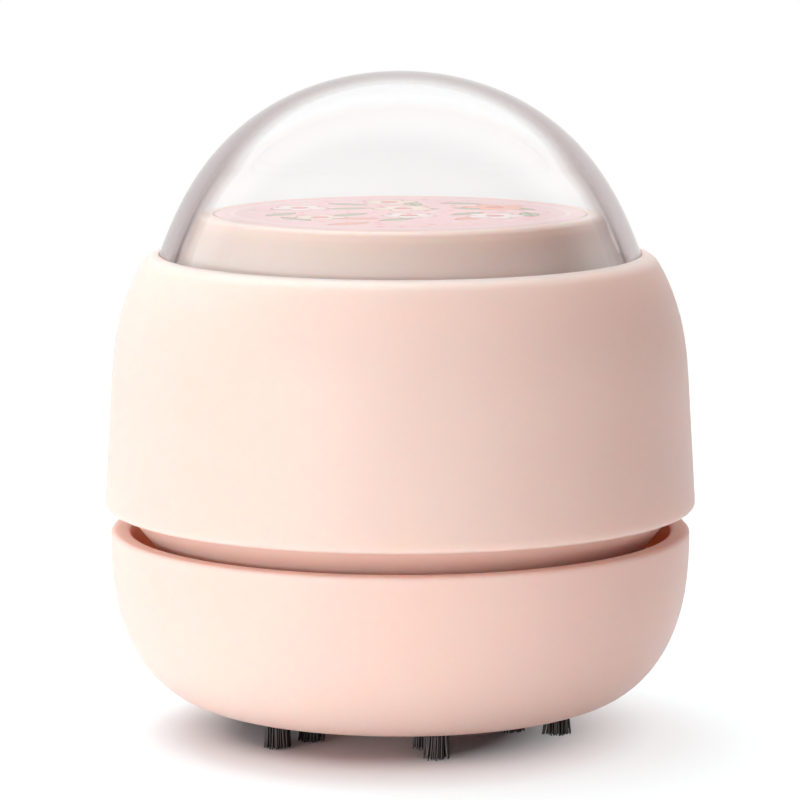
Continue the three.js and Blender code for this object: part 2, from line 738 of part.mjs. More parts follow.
// Exhaust slots round the cone, left out where a screw well stands.
function makeVents() {
  const pitch = 360 / cone.slots;
  const foot = collarTopZ + cone.slotRise;
  const place = [coneSide(foot) - cone.wall / 2, 0, foot];
  const turnBetween = (a, b) => Math.abs(((a - b + 540) % 360) - 180);
  const fromWell = (angle) => Math.min(...fixing.angles.map((well) => turnBetween(angle, well)));
  return Array.from({ length: cone.slots }, (_, i) => (i + 0.5) * pitch)
    .filter((angle) => fromWell(angle) > pitch * 0.75)
    .map((angle) => block(cone.wall * 4, cone.slotWidth, cone.slotHeight, place, angle * degrees));
}

function makeSealRing() {
  const inner = collarRadius - cone.grooveDepth + seatGap;
  const foot = collarFootZ + cone.grooveRise + seatGap;
  return turned([
    [inner, foot],
    [inner + seal.width * 0.7, foot],
    [inner + seal.width, foot + seal.height / 2],
    [inner + seal.width * 0.7, foot + seal.height],
    [inner, foot + seal.height],
  ]);
}

// Upper half: filter and fan.

const filterInner = collarBore - seatGap - filter.ringWall;
const feltZ = filterFlangeZ + filter.flangeThickness + filter.ribHeight + seatGap;

function makeFilterFrame() {
  const flange = collarRadius - filter.flangeInset;
  const flangeTop = filterFlangeZ + filter.flangeThickness;
  const outer = collarBore - seatGap;
  const outline = [
    [filterInner, filterFlangeZ],
    [flange, filterFlangeZ],
    [flange, flangeTop],
    [outer, flangeTop],
    [outer, flangeTop + filter.ringHeight],
    [filterInner, flangeTop + filter.ringHeight],
  ];
  const height = filter.flangeThickness + filter.ribHeight;
  const reach = filterInner + filter.ringWall / 2;
  const ribs = Array.from({ length: filter.ribs }, (_, i) => {
    const angle = (i * 360 * degrees) / filter.ribs;
    return block(reach, filter.ribWidth, height, [reach / 2, 0, filterFlangeZ], angle);
  });
  return join(turned(outline), post(filter.hubRadius, height, [0, 0, filterFlangeZ]), ...ribs);
}

function makeFelt() {
  return post(filterInner - seatGap, filter.feltThickness, [0, 0, feltZ], ringSteps);
}

function makeInletPlate() {
  const radius = coneSide(inletZ) - cone.wall - seatGap;
  const top = inletZ + inlet.thickness;
  return turned(
    [
      [inlet.eyeRadius, inletZ],
      [radius, inletZ],
      [radius, top],
      [inlet.eyeRadius + inlet.lipWall, top],
      [inlet.eyeRadius + inlet.lipWall, top + inlet.lipHeight],
      [inlet.eyeRadius, top + inlet.lipHeight],
    ],
    ringSteps,
  );
}

// A fan blade seen from above: a curved bar from the eye out to the fan's edge, bent backwards.
function bladeShape() {
  const half = impeller.bladeThickness / 2;
  const chord = fanRadius - impeller.bladeStart - impeller.bladeThickness;
  const sweep = Math.asin(chord / 2 / impeller.bladeBend);
  const [x, y] = [impeller.bladeStart + chord / 2, -impeller.bladeBend * Math.cos(sweep)];
  const [inner, outer] = [Math.PI / 2 + sweep, Math.PI / 2 - sweep];
  const shape = new THREE.Shape();
  shape.absarc(x, y, impeller.bladeBend + half, inner, outer, true);
  shape.absarc(x, y, impeller.bladeBend - half, outer, inner, false);
  return shape;
}

function makeImpeller() {
  const bladeHeight = fanPlateZ - bladeFootZ;
  const depth = bladeHeight + impeller.plate / 2;
  const blades = Array.from({ length: impeller.blades }, (_, i) => {
    const blade = new THREE.ExtrudeGeometry(bladeShape(), { depth, bevelEnabled: false, curveSegments: 3 });
    return solidOf(blade.rotateZ((i * 360 * degrees) / impeller.blades).translate(0, 0, bladeFootZ));
  });
  const disc = post(fanRadius, impeller.plate, [0, 0, fanPlateZ], ringSteps);
  const hubHeight = bladeHeight + impeller.plate * 2;
  const hub = post(impeller.hubRadius, hubHeight, [0, 0, bladeFootZ], ringSteps / 2);
  const bore = post(shaft.radius + seatGap, hubHeight + overrun * 2, [0, 0, bladeFootZ - overrun]);
  return cut(join(disc, hub, ...blades), bore);
}

function makeShaft() {
  const foot = bladeFootZ + shaft.tipRise;
  return post(shaft.radius, motorTopGapZ + motor.capThickness - foot, [0, 0, foot]);
}

// Upper half: motor.

const motorScrewPlaces = placesOf(motor.screwCircle, motor.screwAngles);
const boardScrewX = board.width / 2 - boardScrew.insetX;
const boardScrewPlaces = [-1, 1].map((side) => [side * boardScrewX, boardFrontY + boardScrew.insetY]);

function makeMotorPlate() {
  const radius = spigotRadius - cone.spigotWall - seatGap;
  const ribFoot = plateTopZ - plate.thickness / 2;
  const ribX = cell.length / 2 + seatGap + plate.ribThickness / 2;
  const ribHeight = plate.ribHeight + plate.thickness / 2;
  const ribs = [-1, 1].map((side) =>
    block(plate.ribThickness, cellThickness, ribHeight, [side * ribX, cellMiddleY, ribFoot]),
  );
  const posts = postsAt(boardScrewPlaces, board.postRadius, ribFoot, boardZ - seatGap - ribFoot);
  const through = plate.thickness + overrun * 2;
  const holes = [
    post(plate.noseBore, through, [0, 0, plateZ - overrun]),
    ...shankHoles([...motorScrewPlaces, ...fixingPlaces], plateZ - overrun, through),
    ...shankHoles(boardScrewPlaces, ribFoot, board.postHeight + plate.thickness),
  ];
  return cut(join(post(radius, plate.thickness, [0, 0, plateZ], roundSteps), ...ribs, ...posts), ...holes);
}

function makeMotorCan() {
  const inner = motor.radius - motor.wall;
  const bore = motor.bearingRadius + seatGap;
  const can = turned(
    [
      [bore, motorZ],
      [motor.radius, motorZ],
      [motor.radius, motorTopZ],
      [inner, motorTopZ],
      [inner, motorZ + motor.floor],
      [bore, motorZ + motor.floor],
    ],
    ringSteps,
  );
  return cut(can, ...shankHoles(motorScrewPlaces, motorZ - overrun / 2, motor.floor + overrun));
}

function makeMotorCap() {
  const bossTop = motorTopGapZ + motor.capThickness + motor.capBoss;
  const cap = turned(
    [
      [shaft.radius + shaftGap, motorTopGapZ],
      [motor.radius, motorTopGapZ],
      [motor.radius, motorTopGapZ + motor.capThickness],
      [motor.capBossRadius, motorTopGapZ + motor.capThickness],
      [motor.capBossRadius, bossTop],
      [shaft.radius + shaftGap, bossTop],
    ],
    ringSteps,
  );
  const [width, depth] = [motor.tabThickness + seatGap * 2, motor.tabWidth + seatGap * 2];
  const slots = [-1, 1].map((side) => {
    const place = [side * motor.tabOffset, 0, motorTopGapZ - overrun / 2];
    return block(width, depth, motor.capThickness + overrun, place);
  });
  return cut(cap, ...slots);
}

function makeMotorTab(side) {
  const x = side * motor.tabOffset;
  const tab = block(motor.tabThickness, motor.tabWidth, motor.tabHeight, [x, 0, motorTopGapZ]);
  const radius = motor.tabWidth * 0.22;
  const eye = new THREE.CylinderGeometry(radius, radius, motor.tabWidth, smallSteps).rotateZ(Math.PI / 2);
  return cut(tab, solidOf(eye.translate(x, 0, tabEyeZ)));
}

function makeBearing() {
  const foot = motorZ + motor.floor - motor.bearingLength;
  return ring(motor.bearingRadius, shaft.radius + shaftGap, foot, motor.bearingLength);
}

function makeMagnet(side) {
  const outer = motor.radius - motor.wall - seatGap;
  const half = (motor.magnetSpan / 2) * degrees;
  const shape = new THREE.Shape();
  shape.absarc(0, 0, outer, -half, half);
  shape.absarc(0, 0, outer - motor.magnetThickness, half, -half, true);
  const settings = { depth: motor.magnetLength, bevelEnabled: false, curveSegments: 6 };
  const bar = new THREE.ExtrudeGeometry(shape, settings).rotateZ(side > 0 ? 0 : Math.PI);
  return solidOf(bar.translate(0, 0, motorZ + motor.floor + motor.floor));
}

function makeArmature() {
  const foot = motorZ + motor.armatureRise;
  const core = post(motor.armatureRadius, motor.armatureLength, [0, 0, foot], roundSteps);
  const depth = motor.armatureRadius - motor.hubRadius + overrun;
  const height = motor.armatureLength + overrun;
  const slots = [0, 120, 240].map((angle) => {
    const place = [motor.hubRadius + depth / 2, 0, foot - overrun / 2];
    return block(depth, motor.armatureSlot, height, place, angle * degrees);
  });
  const root = foot + motor.armatureLength - overrun;
  const stem = motor.commutatorLength + overrun;
  const commutator = post(motor.commutatorRadius, stem, [0, 0, root], ringSteps);
  const bore = post(shaft.radius + seatGap, motor.length, [0, 0, foot - overrun]);
  return cut(join(cut(core, ...slots), commutator), bore);
}

// Upper half: power.

function makeCell() {
  const body = roundedPlate(cell.length, cellThickness, cellHeight, cellThickness * cell.cornerShare);
  return solidOf(body.translate(0, cellMiddleY, plateTopZ + seatGap));
}

function makePad() {
  const place = [0, cellMiddleY, deckZ - seatGap - pad.thickness];
  return block(cell.length - pad.inset * 2, cellThickness - pad.inset, pad.thickness, place);
}

function makeBoard() {
  const middle = (boardFrontY + boardBackY) / 2;
  const body = block(board.width, boardBackY - boardFrontY, board.thickness, [0, middle, boardZ]);
  const place = [chip.offsetX, middle - chip.offsetY, boardTopZ - board.thickness / 2];
  const chipBlock = block(chip.width, chip.depth, chip.height + board.thickness / 2, place);
  const holes = shankHoles(boardScrewPlaces, boardZ - overrun / 2, board.thickness + overrun);
  return cut(join(body, chipBlock), ...holes);
}

function makeSocket() {
  const back = mouthY - socket.depth;
  const sleeve = (inset, start) => {
    const height = socket.height - inset * 2;
    const bar = roundedPlate(socket.width - inset * 2, height, socket.depth, height * 0.45);
    return solidOf(bar.rotateX(-Math.PI / 2).translate(0, start, socketMidZ));
  };
  const [tongueWidth, tongueDepth] = [socket.width * 0.72, socket.depth * 0.8];
  const place = [0, back + tongueDepth / 2, socketMidZ - socket.tongue / 2];
  const shell = cut(sleeve(0, back), sleeve(socket.shell, back + socket.shell * 2));
  return join(shell, block(tongueWidth, tongueDepth, socket.tongue, place));
}

function makeLamp() {
  const y = boardBackY - lamp.radius - seatGap;
  return post(lamp.radius, lamp.height, [lightHole.offset, y, boardTopZ + seatGap]);
}

// The light pipe runs from the lamp out to just inside the housing's skin.
function makeLightPipe() {
  const skin = Math.sqrt(housingSide(socketMidZ) ** 2 - lightHole.offset ** 2);
  const length = skin - boardBackY - seatGap;
  const bar = new THREE.CylinderGeometry(lightPipe.radius, lightPipe.radius, length, smallSteps);
  return solidOf(bar.translate(lightHole.offset, boardBackY + length / 2, socketMidZ));
}

// Upper half: deck, switch and springs.

function makeDeck() {
  const disc = (radius) => post(radius, deck.thickness, [0, 0, deckZ], roundSteps);
  const reach = earCircle - deckRadius / 2;
  const armPlace = [earCircle - reach / 2, 0, deckZ];
  const inside = disc(housingSide(deckZ) - housing.wall - seatGap * 2);
  const ears = earFixing.angles.map((angle) => {
    const arm = block(reach, deck.earWidth, deck.thickness, armPlace, angle * degrees);
    const end = post(deck.earWidth / 2, deck.thickness, onCircle(earCircle, angle, deckZ));
    return join(arm, end).intersect(inside);
  });
  const bore = guide.postRadius + guide.slideGap;
  const sleeveHeight = deck.thickness + deck.sleeveHeight;
  const sleeves = postsAt(guidePlaces, bore + deck.sleeveWall, deckZ, sleeveHeight);
  const [start, through] = [deckZ - overrun, deck.thickness + overrun * 2];
  const cuts = [
    post(motorHole, through, [0, 0, start], ringSteps),
    post(deck.wireHole, through, onCircle(wireHoleCircle, deck.wireHoleAngle, start), ringSteps),
    ...postsAt(guidePlaces, bore, start, sleeveHeight + overrun * 2),
    ...shankHoles(earPlaces, start, through),
  ];
  return cut(join(disc(deckRadius), ...ears, ...sleeves), ...cuts);
}

function makeSwitchBox() {
  const box = block(switchBox.width, switchBox.width, switchBox.height, [0, switchY, switchZ]);
  const boreFoot = switchZ + switchBox.height - switchBox.boreDepth;
  const boreRadius = plunger.radius + switchBox.plungerGap;
  return cut(box, post(boreRadius, switchBox.boreDepth + overrun, [0, switchY, boreFoot]));
}

function makePlunger() {
  return post(plunger.radius, plunger.length, [0, switchY, switchZ + switchBox.height - plunger.sunk]);
}

class Coil extends THREE.Curve {
  constructor(radius, turns, foot, height) {
    super();
    Object.assign(this, { radius, turns, foot, height });
  }
  getPoint(t, target = new THREE.Vector3()) {
    const [x, y] = onCircle(this.radius, t * this.turns * 360);
    return target.set(x, y, this.foot + t * this.height);
  }
}

// A round section for wires and springs, swept along a curve.
function swept(path, radius, sides, steps) {
  const section = new THREE.Shape();
  for (let i = 0; i < sides; i += 1) {
    const angle = (i / sides) * Math.PI * 2;
    section[i ? "lineTo" : "moveTo"](radius * Math.cos(angle), radius * Math.sin(angle));
  }
  return new THREE.ExtrudeGeometry(section, { steps, extrudePath: path, bevelEnabled: false });
}

function makeSpring([x, y]) {
  const foot = deckTopZ + seatGap + spring.wire / 2;
  const height = ceilingZ - seatGap - spring.wire / 2 - foot;
  const coil = new Coil(spring.coilRadius, spring.turns, foot, height);
  const tube = swept(coil, spring.wire / 2, 4, Math.round(spring.turns * 7));
  return solidOf(tube.translate(x, y, 0));
}

// The wires run between solder pads on the board's front edge, the cell, the motor and the switch.
// The last wire's pad stands one row further back.
function padPlace(index) {
  return [(index - 1.5) * wire.padPitch, boardFrontY + wire.padInset + (index === 3 ? wire.padPitch : 0)];
}

// Level at which the switch's two wires leave it.
const switchPinZ = switchZ + wire.radius * 3;

function makeWire(points) {
  const path = new THREE.CatmullRomCurve3(points.map(([x, y, z]) => new THREE.Vector3(x, y, z)));
  return solidOf(swept(path, wire.radius, wire.sides, wire.steps));
}

// From the cell's end face, round the motor, down to its pad.
function cellWire(side) {
  const [x, y] = [-cell.length / 2 - seatGap, cellMiddleY + side * wire.padPitch];
  const z = plateTopZ + cellHeight * (side > 0 ? 0.66 : 0.54);
  const index = side > 0 ? 1 : 0;
  return makeWire([
    [x, y, z],
    [x - wire.radius * 2, y, z],
    [x - wire.radius * (side > 0 ? 4 : 6), cellBackY + wire.radius * 5, z - wire.radius * 2],
    [-motor.radius - wire.radius * (side > 0 ? 8 : 11), 0, z - wire.radius * 5],
    [-motor.radius * (side > 0 ? 0.86 : 1), motor.radius, z - wire.radius * 8],
    [...padPlace(index), boardTopZ + seatGap + wire.radius * 4],
    [...padPlace(index), boardTopZ + seatGap],
  ]);
}

// From the motor's terminal over its cap to the switch.
function switchWire() {
  const x = -motor.tabOffset - motor.tabThickness / 2 - seatGap;
  const side = -switchBox.width / 2 - seatGap;
  return makeWire([
    [x, 0, tabEyeZ],
    [x - wire.radius * 2, 0, tabEyeZ],
    [-motor.radius, switchY / 3, (tabEyeZ + switchPinZ) / 2],
    [side - switchBox.width / 2, switchY - wire.radius * 3, switchPinZ],
    [side - wire.radius * 2, switchY, switchPinZ],
    [side, switchY, switchPinZ],
  ]);
}

// From the motor's other terminal, and from the switch, down through the hole in the deck to their pads.
function returnWire(fromSwitch) {
  const [x, holeY] = wireHolePlace;
  const y = holeY + (fromSwitch ? 0.5 : -0.2) * wire.padPitch;
  const z = fromSwitch ? switchPinZ : tabEyeZ;
  const terminal = [motor.tabOffset + motor.tabThickness / 2 + seatGap, 0, z];
  const start = fromSwitch ? [switchBox.width / 2 + seatGap, switchY, z] : terminal;
  const overCap = [x + wire.radius, y * 0.45, z + wire.radius * 2];
  const bend = fromSwitch ? [x - wire.radius * 2, (y + start[1]) / 2, z] : overCap;
  const pad = padPlace(fromSwitch ? 3 : 2);
  const middle = [(x + pad[0]) / 2, (y + pad[1]) / 2, (deckZ + boardTopZ) / 2];
  return makeWire([
    start,
    [start[0] + wire.radius * 2, start[1], z],
    bend,
    [x, y, deckTopZ],
    [x, y, deckZ - wire.radius],
    middle,
    [...pad, boardTopZ + seatGap + wire.radius * 4],
    [...pad, boardTopZ + seatGap],
  ]);
}

// Push button: dome, pedestal and the printed disc under the dome.

function makeDome() {
  const foot = domeTopZ - domeHeight;
  const outer = Array.from({ length: domeSteps + 1 }, (_, i) => {
    const depth = domeHeight * (i / domeSteps) ** 2;
    return [domeSide(depth), domeTopZ - depth];
  });
  const narrowing = 1 - dome.wall / domeFootRadius;
  const lowering = 1 - dome.wall / domeHeight;
  const inner = outer.map(([radius, z]) => [radius * narrowing, foot + (z - foot) * lowering]);
  return turned([...outer, ...inner.reverse()]);
}

// The pedestal's side widens towards its flange.
function pedestalSide(height) {
  const share = (pedestalTopZ - height) / (pedestalTopZ - flangeTopZ);
  return topRadius + pedestalFlare * share ** button.flareTurn;
}

function makeButtonCap() {
  const edge = button.topRound;
  const innerSide = (height) => pedestalSide(height) - button.wall;
  const outline = [
    [0, ceilingZ],
    [innerSide(ceilingZ), ceilingZ],
    ...curve(innerSide, flangeZ, ceilingZ - button.wall / 2, 2).reverse(),
    [flangeRadius, flangeZ],
    [flangeRadius, flangeTopZ],
    ...curve(pedestalSide, flangeTopZ, pedestalTopZ - edge, 3),
    ...arc(topRadius - edge, pedestalTopZ - edge, edge, 30, 90, 2),
    [pictureRadius + seatGap, pedestalTopZ],
    [pictureRadius + seatGap, pedestalTopZ - button.recess],
    [0, pedestalTopZ - button.recess],
  ];
  const postFoot = deckTopZ + guide.footRise;
  const postTop = ceilingZ + button.ceiling / 2;
  const posts = postsAt(guidePlaces, guide.postRadius, postFoot, postTop - postFoot);
  const pressFoot = switchZ + switchBox.height - plunger.sunk + plunger.length + seatGap;
  const press = post(button.pressRadius, postTop - pressFoot, [0, switchY, pressFoot]);
  return join(turned(outline), press, ...posts);
}

function makePicture() {
  const foot = pedestalTopZ - button.recess + seatGap;
  return post(pictureRadius, picture.thickness, [0, 0, foot], roundSteps);
}

// The scene graph: three nested groups that move, in the group of the dust bowl.

function piece(name, solid, finish) {
  const mesh = new THREE.Mesh(geometryOf(solid), finish);
  mesh.name = name;
  return mesh;
}

function placed(name, solid, finish, [x, y, z], tilt = 0) {
  const mesh = piece(name, solid, finish);
  mesh.position.set(x, y, z);
  mesh.rotation.x = tilt;
  return mesh;
}

const vacuum = new THREE.Group();
const head = new THREE.Group();
const rotor = new THREE.Group();
const pushButton = new THREE.Group();
vacuum.add(head);
head.add(rotor, pushButton);

vacuum.add(piece("dust_bowl", makeBowl(), finishes.shell));
vacuum.add(piece("filter_cup", makeCup(), finishes.innerShell));
vacuum.add(piece("suction_nozzle", makeNozzle(), finishes.innerShell));
for (let i = 0; i < brush.inserts; i += 1) {
  vacuum.add(piece(`brush_insert_${i + 1}`, makeBrushInsert(i), finishes.bristle));
}
nozzleScrewPlaces.forEach(([x, y], i) => {
  const place = [x, y, nozzleHeadZ];
  vacuum.add(placed(`nozzle_screw_${i + 1}`, makeScrew(nozzleScrewLength), finishes.steel, place));
});

head.add(piece("upper_housing", makeHousing(), finishes.shell));
head.add(piece("fan_housing", makeCone(), finishes.innerShell));
head.add(piece("collar_seal", makeSealRing(), finishes.rubber));
head.add(piece("filter_frame", makeFilterFrame(), finishes.whitePlastic));
head.add(piece("filter_felt", makeFelt(), finishes.felt));
head.add(piece("fan_inlet_plate", makeInletPlate(), finishes.whitePlastic));
head.add(piece("motor_plate", makeMotorPlate(), finishes.whitePlastic));
fixingPlaces.forEach(([x, y], i) => {
  const place = [x, y, ledgeZ - cone.wellFloor - seatGap];
  head.add(placed(`housing_screw_${i + 1}`, makeScrew(fixing.length), finishes.steel, place));
});
head.add(piece("motor_can", makeMotorCan(), finishes.steel));
head.add(piece("motor_end_cap", makeMotorCap(), finishes.blackPlastic));
head.add(piece("motor_bearing", makeBearing(), finishes.brass));
[-1, 1].forEach((side, i) => {
  head.add(piece(`motor_magnet_${i + 1}`, makeMagnet(side), finishes.magnet));
  head.add(piece(`motor_terminal_${i + 1}`, makeMotorTab(side), finishes.brass));
});
motorScrewPlaces.forEach(([x, y], i) => {
  const motorScrew = makeScrew(plate.thickness + motor.floor + seatGap);
  head.add(placed(`motor_screw_${i + 1}`, motorScrew, finishes.steel, [x, y, plateZ - seatGap]));
});
head.add(piece("battery_cell", makeCell(), finishes.foil));
head.add(piece("battery_pad", makePad(), finishes.foam));
head.add(piece("charge_board", makeBoard(), finishes.boardGreen));
head.add(piece("charge_socket", makeSocket(), finishes.steel));
head.add(piece("charge_lamp", makeLamp(), finishes.whitePlastic));
head.add(piece("light_pipe", makeLightPipe(), finishes.clear));
boardScrewPlaces.forEach(([x, y], i) => {
  const place = [x, y, boardTopZ + seatGap];
  head.add(placed(`board_screw_${i + 1}`, makeScrew(boardScrew.length), finishes.steel, place, Math.PI));
});
head.add(piece("switch_deck", makeDeck(), finishes.whitePlastic));
earPlaces.forEach(([x, y], i) => {
  const place = [x, y, deckZ - seatGap];
  head.add(placed(`deck_screw_${i + 1}`, makeScrew(earFixing.length), finishes.steel, place));
});
head.add(piece("push_switch", makeSwitchBox(), finishes.blackPlastic));
head.add(piece("cell_wire_red", cellWire(1), finishes.redWire));
head.add(piece("cell_wire_black", cellWire(-1), finishes.blackWire));
head.add(piece("switch_motor_wire", switchWire(), finishes.redWire));
head.add(piece("switch_board_wire", returnWire(true), finishes.redWire));
head.add(piece("motor_board_wire", returnWire(false), finishes.blackWire));
guidePlaces.forEach((place, i) => {
  head.add(piece(`button_spring_${i + 1}`, makeSpring(place), finishes.steel));
});

rotor.add(piece("motor_shaft", makeShaft(), finishes.steel));
rotor.add(piece("motor_armature", makeArmature(), finishes.magnet));
rotor.add(piece("fan_impeller", makeImpeller(), finishes.whitePlastic));

pushButton.add(piece("clear_dome", makeDome(), finishes.clear));
pushButton.add(piece("button_cap", makeButtonCap(), finishes.shell));
pushButton.add(piece("picture_disc", makePicture(), finishes.print));
pushButton.add(piece("switch_plunger", makePlunger(), finishes.whitePlastic));

export default vacuum;
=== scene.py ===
import math
from functools import partial

import bmesh
import bpy
import numpy as np
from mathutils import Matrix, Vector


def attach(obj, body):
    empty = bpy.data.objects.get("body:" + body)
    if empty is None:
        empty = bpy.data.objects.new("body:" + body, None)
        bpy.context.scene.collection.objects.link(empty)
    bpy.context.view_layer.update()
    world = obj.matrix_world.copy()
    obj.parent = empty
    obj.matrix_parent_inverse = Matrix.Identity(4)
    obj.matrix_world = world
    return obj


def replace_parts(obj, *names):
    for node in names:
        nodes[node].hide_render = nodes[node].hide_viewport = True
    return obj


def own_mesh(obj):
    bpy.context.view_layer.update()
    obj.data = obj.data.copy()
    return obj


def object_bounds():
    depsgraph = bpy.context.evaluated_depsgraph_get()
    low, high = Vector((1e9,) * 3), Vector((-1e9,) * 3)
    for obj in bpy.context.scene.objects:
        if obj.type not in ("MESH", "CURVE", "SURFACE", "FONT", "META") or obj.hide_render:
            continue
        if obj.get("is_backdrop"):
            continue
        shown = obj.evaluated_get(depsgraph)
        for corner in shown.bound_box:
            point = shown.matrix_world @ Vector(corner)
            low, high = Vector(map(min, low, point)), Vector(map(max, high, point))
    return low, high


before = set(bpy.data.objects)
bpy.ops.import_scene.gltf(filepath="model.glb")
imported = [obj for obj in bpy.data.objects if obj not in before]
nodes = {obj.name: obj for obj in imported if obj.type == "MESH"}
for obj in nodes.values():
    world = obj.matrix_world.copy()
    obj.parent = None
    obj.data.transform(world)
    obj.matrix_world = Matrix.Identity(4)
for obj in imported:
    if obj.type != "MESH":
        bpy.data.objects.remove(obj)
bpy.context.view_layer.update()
mm = 0.001
print("frame loaded:", len(nodes), "nodes")

# Heights above the table, and what several pieces share.
levels = {
    "bowlFoot": 4.4,
    "bowlFloor": 6.7,
    "bowlFloorTop": 8.2,
    "bowlRim": 29.6,
    "housingFoot": 32.9,
    "lip": 69.8,
    "domeTop": 96.05,
    "domeFoot": 66.4,
    "pedestalTop": 75.6,
}
roundSteps = 240  # facets round a shell
threeWays = (30, 150, 270)  # degrees, of the housing's columns and the pedestal's posts
columnCircle = 32.5
postCircle = 23.8
screwAngles = (-107.5, 12.5, 132.5)
screwCircle = 20.55
shank = 0.9  # radius of every screw hole
plugZ = 41.85  # middle of the charging socket and its lamp

bowlCurve = {"foot": 28, "turnIn": 14.25, "high": 25.2, "fullness": 2.6, "turn": 1.84}
housingCurve = {
    "widest": 43,
    "widestZ": 34.0,
    "lean": 0.061,
    "shoulderZ": 49.6,
    "shoulder": 20.2,
    "fall": 4.7,
    "bend": 3.1,
}
domeCurve = {"round": 79.2, "flatter": 1.695, "foot": 0.502, "high": 29.65}
pedestalCurve = {"top": 29.6, "flare": 4.1, "high": 9.2, "bend": 1.5}
coneCurve = {"neck": 40.2, "narrower": 10.0, "high": 13.3}


# The bowl's side: a quarter of a flattened oval, out by the turn-in from the foot to the rim.
def bowlSide(z, c=bowlCurve):
    depth = np.clip((levels["bowlRim"] - z) / c["high"], 0, 1)
    return c["foot"] + c["turnIn"] * (1 - depth ** c["fullness"]) ** (1 / c["turn"])


# The housing's side: a slightly leaning line, and a shoulder that falls away from it by a power of
# its height.
def housingSide(z, c=housingCurve):
    share = np.clip((z - c["shoulderZ"]) / c["shoulder"], 0, None)
    return c["widest"] - c["lean"] * (z - c["widestZ"]) - c["fall"] * share ** c["bend"]


# The dome's radius at a depth under its top: a sphere's, flattened towards the foot.
def domeSide(depth, c=domeCurve):
    return np.sqrt(c["round"] * depth - c["flatter"] * depth**2 + c["foot"] * depth**3 / c["high"])


# The pedestal's side: its top radius, and a flare that grows towards the flange.
def pedestalSide(z, c=pedestalCurve):
    return c["top"] + c["flare"] * np.clip((levels["pedestalTop"] - z) / c["high"], 0, 1) ** c["bend"]


# The conical underside of the upper half, from its neck down to the collar.
def coneSide(z, c=coneCurve):
    return c["neck"] - c["narrower"] * (levels["housingFoot"] - z) / c["high"]


# Rows of (radius, height, round) become a closed outline: at each corner an arc of that round
# touches both sides, turned evenly from one side to the other.
def rounded(corners, steps=6):
    rows = np.array([tuple(c) + (0.0,) * (3 - len(c)) for c in corners], float)
    points, radius = rows[:, :2], rows[:, 2]
    back, on = np.roll(points, 1, 0) - points, np.roll(points, -1, 0) - points
    backLong, onLong = np.linalg.norm(back, axis=1), np.linalg.norm(on, axis=1)
    back, on = back / backLong[:, None], on / onLong[:, None]
    half = np.arccos(np.clip((back * on).sum(1), -0.99999, 0.99999)) / 2
    reach = np.minimum(radius / np.tan(half), 0.48 * np.minimum(backLong, onLong))
    radius = reach * np.tan(half)
    middle = back + on
    middle = middle / np.maximum(np.linalg.norm(middle, axis=1), 1e-9)[:, None]
    centre = points + middle * (radius / np.sin(half))[:, None]
    start, end = points + back * reach[:, None] - centre, points + on * reach[:, None] - centre
    share = np.linspace(0, 1, steps)[None, :, None]
    turn = (np.pi - 2 * half)[:, None, None]
    arc = (np.sin((1 - share) * turn) * start[:, None] + np.sin(share * turn) * end[:, None]) / np.sin(turn)
    arcs = np.where(radius[:, None, None] > 1e-6, centre[:, None] + arc, points[:, None])
    outline = arcs.reshape(-1, 2)
    apart = np.linalg.norm(outline - np.roll(outline, 1, 0), axis=1)
    return outline[apart > 1e-5]


# Long straight sides get a point near each end, so that smooth shading stays even up to the round.
def supported(outline, near=0.25, longer=1.0):
    after = np.roll(outline, -1, 0)
    step = after - outline
    length = np.linalg.norm(step, axis=1)
    share = (near / np.maximum(length, 1e-9))[:, None]
    rows = np.stack([outline, outline + step * share, after - step * share], 1)
    keep = np.ones((len(outline), 3), bool)
    keep[:, 1:] = (length > longer)[:, None]
    return rows[keep]


# Points along a side, as rows for rounded().
def sampled(side, low, high, steps):
    z = np.linspace(low, high, steps)
    return [(r, h, 0.0) for r, h in zip(side(z), z)]


# A mesh object in the scene, from points and faces as they are.
def linked(name, points, faces):
    mesh = bpy.data.meshes.new(name)
    mesh.from_pydata(points, [], faces)
    made = bpy.data.objects.new(name, mesh)
    bpy.context.scene.collection.objects.link(made)
    return made


# A piece from points in millimetres. A tone for each point, where given, is kept as an attribute.
def newPiece(name, points, faces, sharp=35, tone=None):
    piece = linked(name, np.asarray(points) * mm, faces)
    if tone is not None:
        piece.data.attributes.new("tone", "FLOAT", "POINT").data.foreach_set("value", tone.astype(np.float32))
    return tidied(piece, sharp)


# Smooth shading, with every edge over the angle kept crisp.
def smoothed(piece, sharp=35):
    piece.data.polygons.foreach_set("use_smooth", np.ones(len(piece.data.polygons), bool))
    piece.data.set_sharp_from_angle(angle=math.radians(sharp))
    return piece


# Doubles are merged, faces turned outwards, and edges over the angle kept crisp.
def tidied(piece, sharp=35):
    work = bmesh.new()
    work.from_mesh(piece.data)
    bmesh.ops.remove_doubles(work, verts=work.verts, dist=1e-7)
    bmesh.ops.dissolve_degenerate(work, dist=1e-8, edges=work.edges)
    bmesh.ops.recalc_face_normals(work, faces=work.faces)
    work.to_mesh(piece.data)
    work.free()
    return smoothed(piece, sharp)


# A piece's points as rows of x, y and z in metres.
def pointsOf(piece):
    points = np.zeros(len(piece.data.vertices) * 3)
    piece.data.vertices.foreach_get("co", points)
    return points.reshape(-1, 3)


# The axes are put in the given order, and the piece is moved by x, y and z.
def moved(piece, by, axes=(0, 1, 2)):
    points = pointsOf(piece)[:, axes] + np.array(by) * mm
    piece.data.vertices.foreach_set("co", points.ravel())
    return piece


# What was made upright is laid along +Y, at a place of x and height.
def laidBack(piece, x, z):
    return tidied(moved(piece, (x, 0, z), (0, 2, 1)))


